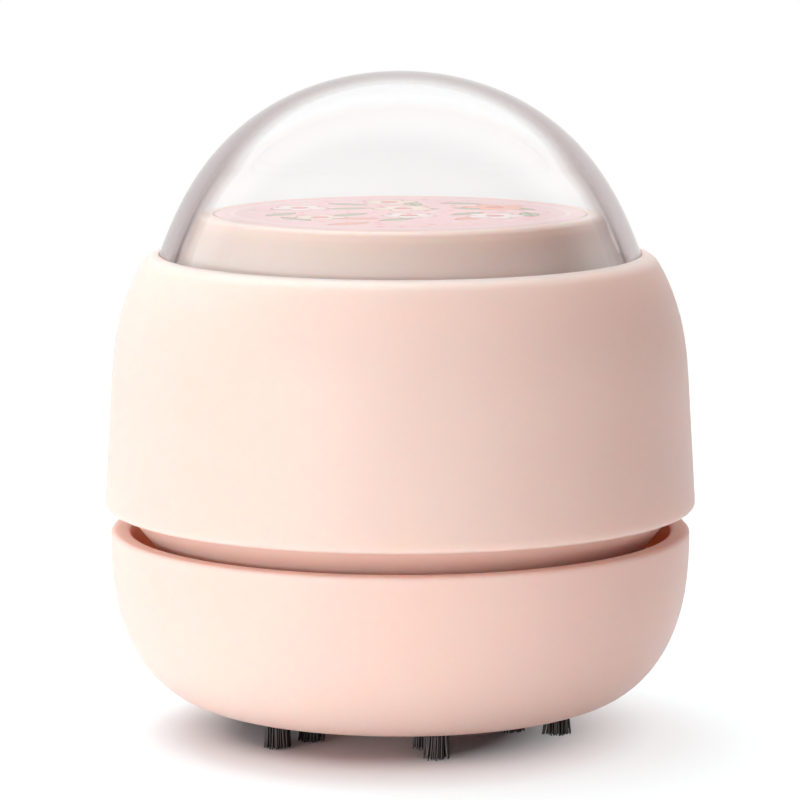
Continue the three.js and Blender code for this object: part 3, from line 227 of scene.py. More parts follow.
# A grid of rows by columns as quads, closed round the columns, and round the rows as well if asked.
def gridFaces(rows, columns, closeRows=True, start=0):
    i, j = np.meshgrid(np.arange(rows if closeRows else rows - 1), np.arange(columns), indexing="ij")
    k, m = (i + 1) % rows, (j + 1) % columns
    quads = np.stack([i * columns + j, i * columns + m, k * columns + m, k * columns + j], -1)
    return quads.reshape(-1, 4) + start


# An outline of radius and height carried round the axis: radius r at angle a stands at (r cos a, r sin a).
def turned(name, outline, steps=roundSteps):
    outline = np.asarray(outline)
    angle = np.arange(steps) * 2 * np.pi / steps
    radius, height = outline[:, 0, None], outline[:, 1, None]
    points = np.stack([radius * np.cos(angle), radius * np.sin(angle), height + 0 * angle], -1).reshape(-1, 3)
    return newPiece(name, points, gridFaces(len(outline), steps).tolist())


# A closed side wall with flat ends: an outline of x and y lifted from one height to the other.
def prismParts(outline, low, high, start=0):
    outline = np.asarray(outline, float)
    count = len(outline)
    points = np.concatenate([np.column_stack([outline, np.full(count, z)]) for z in (low, high)])
    under, over = list(range(start + count - 1, start - 1, -1)), list(range(start + count, start + 2 * count))
    return points, gridFaces(2, count, False, start).tolist() + [under, over]


# Several prisms in one mesh, each from (outline, low, high).
def prisms(name, shapes):
    points, faces, start = [], [], 0
    for outline, low, high in shapes:
        morePoints, moreFaces = prismParts(outline, low, high, start)
        points.append(morePoints)
        faces.extend(moreFaces)
        start += len(morePoints)
    return newPiece(name, np.concatenate(points), faces)


# A point of the circle stands at the centre + radius times (cos a, sin a).
def circle(radius, centre=(0, 0), steps=24):
    angle = np.arange(steps) * 2 * np.pi / steps
    return np.column_stack([centre[0] + radius * np.cos(angle), centre[1] + radius * np.sin(angle)])


# A box outline of width along the angle's own direction and depth across it, its inner edge at a radius.
def barOutline(inner, outer, width, angle):
    a = math.radians(angle)
    corners = np.array([[inner, -width / 2], [outer, -width / 2], [outer, width / 2], [inner, width / 2]])
    return corners @ np.array([[math.cos(a), math.sin(a)], [-math.sin(a), math.cos(a)]])


# The place (r cos a, r sin a) of an angle in degrees.
def onCircle(radius, angle):
    return (radius * math.cos(math.radians(angle)), radius * math.sin(math.radians(angle)))


# Round posts, or the tools for holes, at angles on a circle.
def postsAt(radius, far, angles, low, high, steps=16):
    return [(circle(radius, onCircle(far, a), steps), low, high) for a in angles]


# A solid is cut from, joined to or kept within another, and the tool is thrown away. The tool is a
# piece, or a list of prisms.
def combine(piece, tool, how):
    tool = prisms("tool", tool) if isinstance(tool, list) else tool
    step = piece.modifiers.new("combine", "BOOLEAN")
    step.operation, step.solver, step.object = how, "EXACT", tool
    bpy.context.view_layer.update()
    made = bpy.data.meshes.new_from_object(piece.evaluated_get(bpy.context.evaluated_depsgraph_get()))
    piece.modifiers.clear()
    piece.data = made
    bpy.data.objects.remove(tool)
    return smoothed(piece)


# A material and its main shader node.
def newMaterial(name):
    mat = bpy.data.materials.new(name)
    mat.use_nodes = True
    return mat, mat.node_tree.nodes["Principled BSDF"]


# An input takes a value, or another node's output.
def feed(owner, value, target):
    if hasattr(value, "links"):
        owner.node_tree.links.new(value, target)
    else:
        target.default_value = value


# A node's own settings and its inputs by name, with _ for a space.
def setOn(owner, node, **values):
    for key, value in values.items():
        if hasattr(node, key):
            setattr(node, key, value)
        else:
            feed(owner, value, node.inputs[key.replace("_", " ")])
    return node


# A node of a material or of the world. Its first inputs may be given in their order.
def addNode(owner, kind, *first, **values):
    node = setOn(owner, owner.node_tree.nodes.new(kind), **values)
    for value, target in zip(first, node.inputs):
        feed(owner, value, target)
    return node


# One sum of numbers, and one of vectors, whose length is a number.
def reckon(owner, operation, *values, clamp=False):
    return addNode(owner, "ShaderNodeMath", *values, operation=operation, use_clamp=clamp).outputs[0]


def reckonPlace(owner, operation, *values):
    node = addNode(owner, "ShaderNodeVectorMath", *values, operation=operation)
    return node.outputs["Value" if operation == "LENGTH" else "Vector"]


# Where the shaded point is.
def placeAt(owner, kind="Object"):
    return addNode(owner, "ShaderNodeTexCoord").outputs[kind]


# Noise in the piece's own place, drawn out along an axis where its stretch is under 1.
def noiseAt(mat, scale, detail=2.0, roughness=0.5, stretch=(1, 1, 1)):
    sized = addNode(mat, "ShaderNodeMapping", Vector=placeAt(mat), Scale=stretch).outputs["Vector"]
    noise = addNode(mat, "ShaderNodeTexNoise", Vector=sized, Scale=scale, Detail=detail, Roughness=roughness)
    return noise.outputs["Fac"]


# From low to high in a straight line, as the source goes from one end of its range to the other.
def ranged(owner, source, low, high, fromLow=0.3, fromHigh=0.7):
    ends = {"From_Min": fromLow, "From_Max": fromHigh, "To_Min": low, "To_Max": high}
    return addNode(owner, "ShaderNodeMapRange", source, **ends).outputs["Result"]


# (1 - factor) times the first colour + factor times the second.
def blendColours(owner, factor, *colours):
    node = addNode(owner, "ShaderNodeMix", factor, data_type="RGBA")
    for colour, target in zip(colours, node.inputs[6:8]):
        feed(owner, (*colour, 1) if isinstance(colour, tuple) else colour, target)
    return node.outputs[2]


# A colour times a share, up to white.
def shaded(colour, share):
    return tuple(min(1.0, c * share) for c in colour)


# What most finishes share: a tone, a gloss, and a bump of height, strength and distance.
def surface(mat, shader, tone, gloss, bump, **more):
    height, strength, distance = bump
    bumped = addNode(mat, "ShaderNodeBump", Height=height, Strength=strength, Distance=distance)
    setOn(mat, shader, Base_Color=tone, Roughness=gloss, Normal=bumped.outputs["Normal"], **more)
    return mat


# The colour drifts between a darker and a lighter share of itself.
def drifting(mat, source, colour, darker, lighter):
    return blendColours(mat, ranged(mat, source, 0, 1), shaded(colour, darker), shaded(colour, lighter))


clearIndex = 1.49  # how much the clear and the moulded plastic bend light
glowSizes = {"Subsurface_Radius": (1.0, 0.38, 0.27), "Subsurface_Scale": 0.008}


# Moulded plastic: a slow drift of tone, a fine satin grain in gloss and height, and faint rub marks.
def mouldedPlastic(name, colour, gloss, grain=0.25, glow=0.0, shine=0.5):
    mat, shader = newMaterial(name)
    slow, fine, rub = noiseAt(mat, 38, 3), noiseAt(mat, 2600), noiseAt(mat, 140, 4, 0.6, (1, 1, 0.35))
    both = reckon(mat, "MULTIPLY_ADD", rub, 0.5, reckon(mat, "MULTIPLY", fine, 0.5))
    if glow:
        setOn(mat, shader, Subsurface_Weight=glow, **glowSizes)
    return surface(
        mat,
        shader,
        drifting(mat, slow, colour, 0.985, 1.015),
        ranged(mat, both, gloss - 0.045, gloss + 0.045),
        (fine, grain, 0.00002),
        IOR=clearIndex,
        Specular_IOR_Level=shine,
    )


finishes = {
    "shell": {"colour": (0.95, 0.72, 0.655), "gloss": 0.4, "glow": 0.6, "shine": 0.22},
    # The shell's pink made redder and deeper for the parts inside and under the head: the real plastic with
    # painted shade standing in for light bounced round in the gap.
    "gapShadedShell": {"colour": (0.98, 0.62, 0.54), "gloss": 0.44, "glow": 0.6, "shine": 0.25},
    # The button cap's paler pink is partly its own and partly painted light, making up for the light that the
    # dome and the lip take from it.
    "cap": {"colour": (0.99, 0.77, 0.7), "gloss": 0.4, "glow": 0.6, "shine": 0.22},
    "whitePlastic": {"colour": (0.83, 0.82, 0.79), "gloss": 0.42},
    "blackPlastic": {"colour": (0.02, 0.02, 0.02), "gloss": 0.4},
    "redWire": {"colour": (0.45, 0.02, 0.01), "gloss": 0.3, "grain": 0.1},
    "blackWire": {"colour": (0.012, 0.012, 0.012), "gloss": 0.32, "grain": 0.1},
}
materials = {name: mouldedPlastic(name, **values) for name, values in finishes.items()}


# The finishes become the piece's material slots, in their order.
def paint(piece, *names):
    for name in names:
        piece.data.materials.append(materials[name])


# Metal: brushed or turned lines are a noise pulled out along one direction.
def metal(name, colour, gloss, spots=0.0):
    mat, shader = newMaterial(name)
    lines = noiseAt(mat, 900, 3, 0.6, (1, 1, 12))
    tone = drifting(mat, noiseAt(mat, 120, 4, 0.6), colour, 0.9 - spots, 1.05)
    sheen = ranged(mat, lines, gloss - 0.08, gloss + 0.1)
    return surface(mat, shader, tone, sheen, (lines, 0.2, 0.00002), Metallic=1)


materials["steel"] = metal("steel", (0.56, 0.57, 0.58), 0.3)
materials["brass"] = metal("brass", (0.62, 0.4, 0.13), 0.32)
materials["iron"] = metal("iron", (0.09, 0.088, 0.085), 0.5, spots=0.2)


# Clear moulded plastic: a smooth clear solid that darkens a little along a long path. Its outer side carries
# painted shade where the wall is seen edge on: a grey band by how far it faces away, eased towards the top,
# and a painted dark line along the wall's inner edge, darkest near the foot.
def clearPlastic(name, dim):
    mat, shader = newMaterial(name)
    height = addNode(mat, "ShaderNodeSeparateXYZ", placeAt(mat)).outputs["Z"]
    greyEase = reckon(mat, "MULTIPLY", ranged(mat, height, 0, 1, *dim["top"]), dim["greyEaseTop"])
    facing = addNode(mat, "ShaderNodeLayerWeight", Blend=0.5).outputs["Facing"]
    edgeOn = reckon(mat, "SUBTRACT", facing, greyEase)
    # Painted shade: the grey band where the wall is seen edge on.
    paintedEdgeBand = addNode(mat, "ShaderNodeValToRGB", edgeOn)
    stops = paintedEdgeBand.color_ramp.elements
    stops.remove(stops[-1])
    for index, (position, colour) in enumerate(dim["paintedEdgeBand"]):
        stop = stops.new(position) if index else stops[0]
        stop.position, stop.color = position, (*colour, 1)
    # Painted shade: a dark line along the wall's inner edge, darkest near the foot.
    offLine = reckon(mat, "ABSOLUTE", reckon(mat, "SUBTRACT", edgeOn, dim["line"]))
    nearLine = ranged(mat, offLine, 1, 0, 0, dim["lineWidth"])
    dark = reckon(mat, "MULTIPLY", nearLine, ranged(mat, height, 1, 0, *dim["foot"]))
    paintedGrey = blendColours(mat, dark, paintedEdgeBand.outputs["Color"], dim["paintedFootLine"])
    side = addNode(mat, "ShaderNodeAttribute", attribute_name="outerSide").outputs["Fac"]
    inside = addNode(mat, "ShaderNodeVolumeAbsorption", Color=dim["colour"], Density=dim["density"])
    setOn(mat, mat.node_tree.nodes["Material Output"], Volume=inside.outputs[0])
    ripple = noiseAt(mat, 60, 2)
    return surface(
        mat,
        shader,
        blendColours(mat, side, (1, 1, 1), paintedGrey),
        ranged(mat, ripple, 0.0, 0.02),
        (ripple, 0.02, 0.0002),
        Specular_IOR_Level=dim["shine"],
        Transmission_Weight=1,
        IOR=clearIndex,
    )


materials["clear"] = clearPlastic(
    "clear",
    {
        "colour": (0.80, 0.76, 0.78, 1),
        "density": 10,
        "shine": 0.3,
        # The painted grey band, by how far the outer side faces away.
        "paintedEdgeBand": [
            (0.5, (1, 1, 1)),
            (0.515, (0.83, 0.8, 0.8)),
            (0.542, (0.68, 0.62, 0.61)),
            (0.57, (0.46, 0.38, 0.37)),
            (0.603, (0.34, 0.25, 0.24)),
            (0.637, (0.26, 0.175, 0.165)),
            (0.67, (0.22, 0.145, 0.135)),
            (0.71, (0.245, 0.155, 0.16)),
            (0.79, (0.26, 0.17, 0.165)),
            (1.0, (0.19, 0.12, 0.11)),
        ],
        # Where the painted dark line lies, how wide it is, its colour, and the heights over which it fades.
        "line": 0.632,
        "lineWidth": 0.03,
        "paintedFootLine": (0.02, 0.008, 0.012),
        "foot": (0.072, 0.086),
        # Heights over which the painted grey is eased at the top, and by how much.
        "top": (0.083, 0.096),
        "greyEaseTop": 0.2,
    },
)


# Fibres: two stretched noises laid across each other make the mat's threads, painted darker where they lie
# lower as shade between them.
def fibreMat(name, colour, scale, depth):
    mat, shader = newMaterial(name)
    ways = [noiseAt(mat, scale, 3, 0.7, stretch) for stretch in ((1, 0.12, 1), (0.12, 1, 1))]
    top = reckon(mat, "MAXIMUM", *ways)
    tone = blendColours(mat, ranged(mat, top, 0, 1, 0.4, 0.75), shaded(colour, 0.72), colour)
    return surface(mat, shader, tone, ranged(mat, top, 0.98, 0.85), (top, 0.6, depth), Sheen_Weight=0.2)


materials["felt"] = fibreMat("felt", (0.8, 0.8, 0.78), 900, 0.0003)


# Foam: small round cells as pits, each painted darker towards its middle as shade in the pit.
def foamMaterial(name, colour):
    mat, shader = newMaterial(name)
    cells = addNode(mat, "ShaderNodeTexVoronoi", placeAt(mat), Scale=1800.0).outputs["Distance"]
    tone = blendColours(mat, ranged(mat, cells, 0, 1, 0.1, 0.6), shaded(colour, 0.4), shaded(colour, 1.3))
    return surface(mat, shader, tone, ranged(mat, cells, 0.95, 0.8, 0.1, 0.6), (cells, 0.7, 0.0003))


materials["foam"] = foamMaterial("foam", (0.04, 0.04, 0.042))


# Silicone: soft and matt, with a little dust in its gloss.
def siliconeMaterial(name, colour):
    mat, shader = newMaterial(name)
    slow = noiseAt(mat, 160, 4, 0.6)
    setOn(mat, shader, Subsurface_Weight=0.3, Subsurface_Radius=(1.0, 0.9, 0.8), Subsurface_Scale=0.001)
    tone = drifting(mat, slow, colour, 0.94, 1.04)
    return surface(mat, shader, tone, ranged(mat, slow, 0.5, 0.66), (noiseAt(mat, 1500), 0.2, 0.00003))


materials["silicone"] = siliconeMaterial("silicone", (0.7, 0.66, 0.62))


# Solder mask over tracks: a brick pattern's joints stand for the tracks under the green.
def boardMaterial(name, colour):
    mat, shader = newMaterial(name)
    tracks = addNode(mat, "ShaderNodeTexBrick", placeAt(mat), Scale=420.0, Mortar_Size=0.03).outputs["Fac"]
    tone = blendColours(mat, tracks, colour, shaded(colour, 2.1))
    return surface(mat, shader, tone, ranged(mat, noiseAt(mat, 500, 3), 0.25, 0.4), (tracks, 0.3, 0.00005))


materials["board"] = boardMaterial("board", (0.02, 0.12, 0.05))


# Shrink wrap: smooth, slightly wavy foil, painted darker in the dips of its waves as shade.
def wrapMaterial(name, colour):
    mat, shader = newMaterial(name)
    wave = noiseAt(mat, 90, 3, 0.5, (0.4, 1, 1))
    tone = drifting(mat, wave, colour, 0.92, 1.06)
    return surface(mat, shader, tone, ranged(mat, wave, 0.2, 0.34), (wave, 0.3, 0.0002), Metallic=0.35)


materials["wrap"] = wrapMaterial("wrap", (0.35, 0.46, 0.56))


# Nylon bristles: nearly black brown, each strand a little lighter or darker by its own tone.
def bristleMaterial(name, dark, light):
    mat, shader = newMaterial(name)
    strand = addNode(mat, "ShaderNodeAttribute", attribute_name="tone").outputs["Fac"]
    streak = noiseAt(mat, 2500, 2, 0.5, (1, 1, 0.2))
    tone = blendColours(mat, strand, dark, light)
    return surface(mat, shader, tone, ranged(mat, streak, 0.3, 0.5), (streak, 0.15, 0.00002))


materials["bristle"] = bristleMaterial("bristle", (0.008, 0.005, 0.004), (0.05, 0.035, 0.03))


# Cells of one size in millimetres: where a point lies in its cell, random numbers for the cell,
# and how far the cell's middle is from the disc's.
def scattered(mat, cell, randomness, shift):
    off = (shift, shift * 0.7, 0)
    scale = (1000 / cell,) * 3
    sized = addNode(mat, "ShaderNodeMapping", placeAt(mat), Scale=scale, Location=off).outputs["Vector"]
    cells = addNode(
        mat, "ShaderNodeTexVoronoi", voronoi_dimensions="2D", Vector=sized, Scale=1, Randomness=randomness
    ).outputs
    within = reckonPlace(mat, "SUBTRACT", sized, cells["Position"])
    local = addNode(mat, "ShaderNodeSeparateXYZ", within).outputs
    back = reckonPlace(mat, "SUBTRACT", cells["Position"], off)
    return {
        "x": local["X"],
        "y": local["Y"],
        "far": cells["Distance"],
        "chance": addNode(mat, "ShaderNodeSeparateColor", cells["Color"]).outputs,
        "out": reckonPlace(mat, "LENGTH", reckonPlace(mat, "MULTIPLY", back, (cell, cell, 0))),
    }


# 1 where a depth inside a shape is above the given one, with an edge as soft as print.
def inked(mat, depth, above=0.0, soft=0.012):
    return ranged(mat, depth, 0, 1, above - soft, above + soft)


printColours = {
    "ground": (0.93, 0.72, 0.73),
    "ring": (0.93, 0.82, 0.80),
    "line": (0.42, 0.22, 0.18),
    "cream": (0.92, 0.84, 0.74),
    "white": (0.93, 0.90, 0.88),
    "rose": (0.85, 0.38, 0.39),
    "peach": (0.92, 0.58, 0.46),
    "leaf": (0.50, 0.64, 0.50),
}
# Each layer's cell, randomness and shift, and how far from the middle it still stands. The rest are
# shares of a cell, but the ring's radius and half width.
printSizes = {
    "dots": (3.6, 0.6, 0.3),
    "dotsWithin": 22.0,
    "dot": (0.06, 0.12),
    "leaves": (8.4, 0.4, 2.1),
    "leavesWithin": 19.5,
    "leafLong": 0.42,
    "leafWide": 0.17,
    "vein": (0.014, 0.008),
    "leafLine": 0.026,
    "flowers": (12.5, 0.35, 5.2),
    "flowersWithin": 17.5,
    "petal": (0.18, 0.19, 0.6),
    "smallest": 0.8,
    "larger": 0.25,
    "heart": 0.085,
    "heartLine": 0.018,
    "petalLine": 0.02,
    "ring": (24.3, 0.3),
}


# The print: flowers over leaves over dots, each drawn with a thin line round it, inside a pale ring.
# A petal's reach is a share of the cell that swings with 5 halves of the angle, and a leaf is two parabolas.
def printMaterial(name, colours, sizes):
    mat, shader = newMaterial(name)
    kinds = ("ADD", "SUBTRACT", "MULTIPLY", "MINIMUM", "ABSOLUTE")
    add, minus, times, least, plain = (partial(reckon, mat, kind) for kind in kinds)
    blend, ink = partial(blendColours, mat), partial(inked, mat)
    tone = drifting(mat, noiseAt(mat, 60, 3), colours["ground"], 1, 0.95)
    dots = scattered(mat, *sizes["dots"])
    dotDepth = add(minus(times(dots["chance"][0], sizes["dot"][1]), dots["far"]), sizes["dot"][0])
    dotDepth = least(dotDepth, minus(sizes["dotsWithin"], dots["out"]))
    tone = blend(ink(dotDepth), tone, blend(ink(dots["chance"][1], 0.5), colours["rose"], colours["white"]))

    leaves = scattered(mat, *sizes["leaves"])
    turn = times(leaves["chance"][0], 6.283)
    cosine, sine = reckon(mat, "COSINE", turn), reckon(mat, "SINE", turn)
    along = add(times(leaves["x"], cosine), times(leaves["y"], sine))
    across = plain(minus(times(leaves["y"], cosine), times(leaves["x"], sine)))
    bulge = reckon(mat, "POWER", reckon(mat, "DIVIDE", plain(along), sizes["leafLong"]), 2.0)
    leafDepth = minus(times(minus(1.0, bulge), sizes["leafWide"]), across)
    leafDepth = least(leafDepth, minus(sizes["leavesWithin"], leaves["out"]))
    leafTone = blend(ink(leaves["chance"][1], 0.7), colours["leaf"], colours["peach"])
    leafTone = blend(ink(across, *sizes["vein"]), colours["line"], leafTone)
    tone = blend(ink(leafDepth), tone, colours["line"])
    tone = blend(ink(leafDepth, sizes["leafLine"]), tone, leafTone)

    flowers = scattered(mat, *sizes["flowers"])
    angle = add(reckon(mat, "ARCTAN2", flowers["y"], flowers["x"]), times(flowers["chance"][0], 6.283))
    low, more, power = sizes["petal"]
    swing = reckon(mat, "POWER", plain(reckon(mat, "COSINE", times(angle, 2.5))), power)
    size = add(times(flowers["chance"][2], sizes["larger"]), sizes["smallest"])
    petalDepth = minus(times(add(times(swing, more), low), size), flowers["far"])
    petalDepth = least(petalDepth, minus(sizes["flowersWithin"], flowers["out"]))
    petalTone = blend(ink(flowers["chance"][1], 0.45), colours["cream"], colours["white"])
    petalTone = blend(ink(flowers["chance"][1], 0.8), petalTone, colours["peach"])
    heart = minus(sizes["heart"], flowers["far"])
    petalTone = blend(ink(heart, -sizes["heartLine"]), petalTone, colours["line"])
    petalTone = blend(ink(heart), petalTone, colours["rose"])
    tone = blend(ink(petalDepth), tone, colours["line"])
    tone = blend(ink(petalDepth, sizes["petalLine"]), tone, petalTone)

    out = reckonPlace(mat, "LENGTH", reckonPlace(mat, "MULTIPLY", placeAt(mat), (1000, 1000, 0)))
    radius, half = sizes["ring"]
    tone = blend(ink(minus(half, plain(minus(out, radius))), 0, 0.05), tone, colours["ring"])
    film = noiseAt(mat, 900)
    return surface(mat, shader, tone, ranged(mat, film, 0.34, 0.44), (film, 0.12, 0.00002))


materials["print"] = printMaterial("print", printColours, printSizes)
print("finishes made")

# The lower half rides with the dust cup.
bowlSizes = {
    "wall": 2.8,
    "rim": 42.25,
    "rimRound": 0.6,
    "foot": 28,
    "openRadius": 27.3,
    "chimneyBore": 9.7,
    "outerSteps": 72,
    "innerSteps": 48,
}


# A turned profile: the outer side up to the rim, a rounded rim, and the inner side, which is the
# outer one drawn in by the wall, down to a flat floor.
def makeBowl(sizes):
    z, rim, wall = levels, levels["bowlRim"], sizes["wall"]
    outer = sampled(bowlSide, z["bowlFoot"], rim - 1.2, sizes["outerSteps"])[1:]
    inner = sampled(lambda h: bowlSide(h) - wall, z["bowlFloorTop"], rim - 1.5, sizes["innerSteps"])[1:]
    corners = [
        (sizes["openRadius"], z["bowlFoot"], 0.2),
        (sizes["foot"], z["bowlFoot"], 0.12),
        *outer,
        (sizes["rim"], rim, sizes["rimRound"]),
        (sizes["rim"] - wall, rim, sizes["rimRound"]),
        *inner[::-1],
        (float(bowlSide(z["bowlFloorTop"])) - wall, z["bowlFloorTop"], 0.3),
        (sizes["chimneyBore"], z["bowlFloorTop"], 0.15),
        (sizes["chimneyBore"], z["bowlFloor"], 0.15),
        (sizes["openRadius"], z["bowlFloor"], 0.2),
    ]
    return turned("bowl_shell", supported(rounded(corners)))


bowl = makeBowl(bowlSizes)
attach(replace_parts(bowl, "dust_bowl"), "dust_cup")
paint(bowl, "shell")

cupSizes = {
    "bore": 30.6,
    "wall": 1.6,
    "low": 8.5,
    "high": 19.6,
    "boss": 2.5,
    "bossHigh": 13.5,
    "spoke": 1.2,
    "steps": 180,
}


# A turned sleeve. A spoke runs from it to each screw boss, and each boss is a round post with a bore.
def makeCup(sizes):
    bore, wall, low, high = (sizes[key] for key in ("bore", "wall", "low", "high"))
    corners = [(bore, low, 0.15), (bore + wall, low, 0.15), (bore + wall, high, 0.45), (bore, high, 0.45)]
    cup = turned("filter_cup_wall", supported(rounded(corners)), sizes["steps"])
    spokes = [
        (barOutline(screwCircle, bore + wall / 2, sizes["boss"] * 2, angle), low, low + sizes["spoke"])
        for angle in screwAngles
    ]
    combine(cup, spokes, "UNION")
    combine(cup, postsAt(sizes["boss"], screwCircle, screwAngles, low, sizes["bossHigh"], 32), "UNION")
    bores = postsAt(shank, screwCircle, screwAngles, low - 1, sizes["bossHigh"] + 1)
    return combine(cup, bores, "DIFFERENCE")


cup = makeCup(cupSizes)
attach(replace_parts(cup, "filter_cup"), "dust_cup")
paint(cup, "gapShadedShell")

nozzleSizes = {
    "radius": 27.0,
    "mouth": 8.0,
    "mouthRound": 1.1,
    "chimney": 9.4,
    "low": 4.4,
    "high": 6.4,
    "chimneyHigh": 13.5,
    "pocket": 1.2,
    "pocketGap": 0.3,
    "well": 1.4,
    "wellRadius": 2.3,
    "hole": 1.15,
    "steps": 180,
}
tuftRows = (17.2, 23.9)
firstTuft = -77.5
tuftSizes = {
    "radius": 1.85,
    "margin": 0.4,
    "backing": 0.9,
    "root": 4.8,
    "strand": 0.145,
    "count": 78,
    "sides": 5,
    "locks": 9,
    "splay": (0.08, 0.16),
    "lockLean": 0.13,
    "strandLean": 0.04,
    "lockEnd": 0.1,
    "strandEnd": 0.12,
    "rings": (0.0, 0.35, 0.7, 1.0),
    "taper": (1.0, 1.0, 0.95, 0.8),
}


# A slice of a ring round one insert's four tufts: an arc at the outer radius, and back at the inner one.
def insertOutline(index, margin, steps=20):
    reach = tuftSizes["radius"] + tuftSizes["margin"] + margin
    inner, outer = tuftRows[0] - reach, tuftRows[1] + reach
    half = 30 + math.degrees(reach / tuftRows[0])
    middle = firstTuft + 30 + index * 120
    angle = np.radians(np.linspace(middle - half, middle + half, steps))
    sweep = np.column_stack([np.cos(angle), np.sin(angle)])
    return np.concatenate([sweep * outer, sweep[::-1] * inner])


# A turned plate with a chimney and a rounded mouth, less a pocket for each insert and a stepped
# hole for each screw.
def makeNozzle(sizes):
    low, high, top = sizes["low"], sizes["high"], sizes["chimneyHigh"]
    corners = [
        (sizes["mouth"], low, sizes["mouthRound"]),
        (sizes["radius"], low, 0.25),
        (sizes["radius"], high, 0.15),
        (sizes["chimney"], high, 0.25),
        (sizes["chimney"], top, 0.4),
        (sizes["mouth"], top, 0.4),
    ]
    nozzle = turned("nozzle_plate", supported(rounded(corners, 8)), sizes["steps"])
    start = low - 1
    pockets = [(insertOutline(i, sizes["pocketGap"]), start, low + sizes["pocket"]) for i in range(3)]
    combine(nozzle, pockets, "DIFFERENCE")
    wells = postsAt(sizes["wellRadius"], screwCircle, screwAngles, start, low + sizes["well"], 40)
    combine(nozzle, wells, "DIFFERENCE")
    holes = postsAt(sizes["hole"], screwCircle, screwAngles, start + 1.5, high + 1, 24)
    return combine(nozzle, holes, "DIFFERENCE")


nozzle = makeNozzle(nozzleSizes)
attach(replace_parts(nozzle, "suction_nozzle"), "dust_cup")
paint(nozzle, "gapShadedShell")


# One insert: strands stand on a spiral in each tuft. A strand is a thin tube that leans out with its
# place in the tuft, by the square of its height. Nine locks of strands lean and end each in their own way.
def makeInsert(index, sizes):
    rng = np.random.default_rng(40 + index)
    count, sides, locks = sizes["count"], sizes["sides"], sizes["locks"]
    order = np.arange(count)
    spiral = order * np.pi * (3 - math.sqrt(5))
    out = (sizes["radius"] - sizes["strand"]) * np.sqrt((order + 0.5) / count)
    local = np.column_stack([out * np.cos(spiral), out * np.sin(spiral)])
    angles = np.radians(firstTuft + index * 120 + np.array([0, 0, 60, 60]))
    rows = np.array(tuftRows * 2)
    centres = np.column_stack([rows * np.cos(angles), rows * np.sin(angles)])
    tufts = len(centres)
    splay = rng.uniform(*sizes["splay"], (tufts, count, 1)) * local[None]
    lock = (np.floor(spiral / (2 * np.pi) * locks + order / 30) % locks).astype(int)
    stray = rng.normal(0, sizes["lockLean"], (tufts, locks, 2))[:, lock]
    stray = stray + rng.normal(0, sizes["strandLean"], (tufts, count, 2))
    tip = np.abs(rng.normal(0, sizes["lockEnd"], (tufts, locks)))[:, lock]
    tip = tip + np.abs(rng.normal(0, sizes["strandEnd"], (tufts, count)))
    tip[:, ::locks] = 0
    share = np.array(sizes["rings"])
    z = sizes["root"] * (1 - share) + tip[..., None] * share
    lean = share[None, None, :, None] ** 2
    middle = centres[:, None, None] + local[None, :, None] + (splay + stray)[:, :, None] * lean
    ringAngle = np.arange(sides) * 2 * np.pi / sides
    ringOut = np.column_stack([np.cos(ringAngle), np.sin(ringAngle)]) * sizes["strand"]
    taper = np.array(sizes["taper"])[None, None, :, None, None]
    flat = middle[:, :, :, None] + ringOut[None, None, None] * taper
    high = np.broadcast_to(z[..., None, None], flat.shape[:-1] + (1,))
    points = np.concatenate([flat, high], -1).reshape(-1, 3)
    strands, rings = tufts * count, len(share)
    perStrand = rings * sides
    offsets = (np.arange(strands) * perStrand)[:, None, None]
    ends = np.array([list(range(sides))[::-1], list(range((rings - 1) * sides, perStrand))])
    quads = (gridFaces(rings, sides, False)[None] + offsets).reshape(-1, 4).tolist()
    caps = (ends[None] + offsets).reshape(-1, sides).tolist()
    foot = levels["bowlFoot"]
    backing = insertOutline(index, 0, 28)
    backPoints, backFaces = prismParts(backing, foot, foot + sizes["backing"], len(points))
    tone = np.concatenate([np.repeat(rng.random(strands) ** 2, perStrand), np.full(len(backPoints), 0.1)])
    points = np.concatenate([points, backPoints])
    return newPiece(f"bristle_tufts_{index + 1}", points, quads + caps + backFaces, 50, tone)


for index in range(3):
    insert = makeInsert(index, tuftSizes)
    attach(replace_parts(insert, f"brush_insert_{index + 1}"), "dust_cup")
    paint(insert, "bristle")
print("lower half made")

# The upper half lifts off.
housingSizes = {
    "wall": 2.2,
    "foot": 43.0,
    "footOut": 42.995,
    "footRound": 1.1,
    "lipDepth": 1.5,
    "lipGap": 0.08,
    "shoulderDrop": 1.35,
    "fuller": 0.32,
    "fullerZ": (62.0, 6.45),
    "rollPull": (36.69, 69.56),
    "rollSteps": 14,
    "bore": 36.625,
    "boreLow": 63.2,
    "column": 2.7,
    "columnLow": 36.5,
    "columnHigh": 48.0,
    "web": 1.8,
    "webReach": 41.6,
    "webHigh": 47.9,
    "ears": (90, 210, 330),
    "earCircle": 36.2,
    "ear": 2.5,
    "earLow": 59.0,
    "earHigh": 61.6,
}


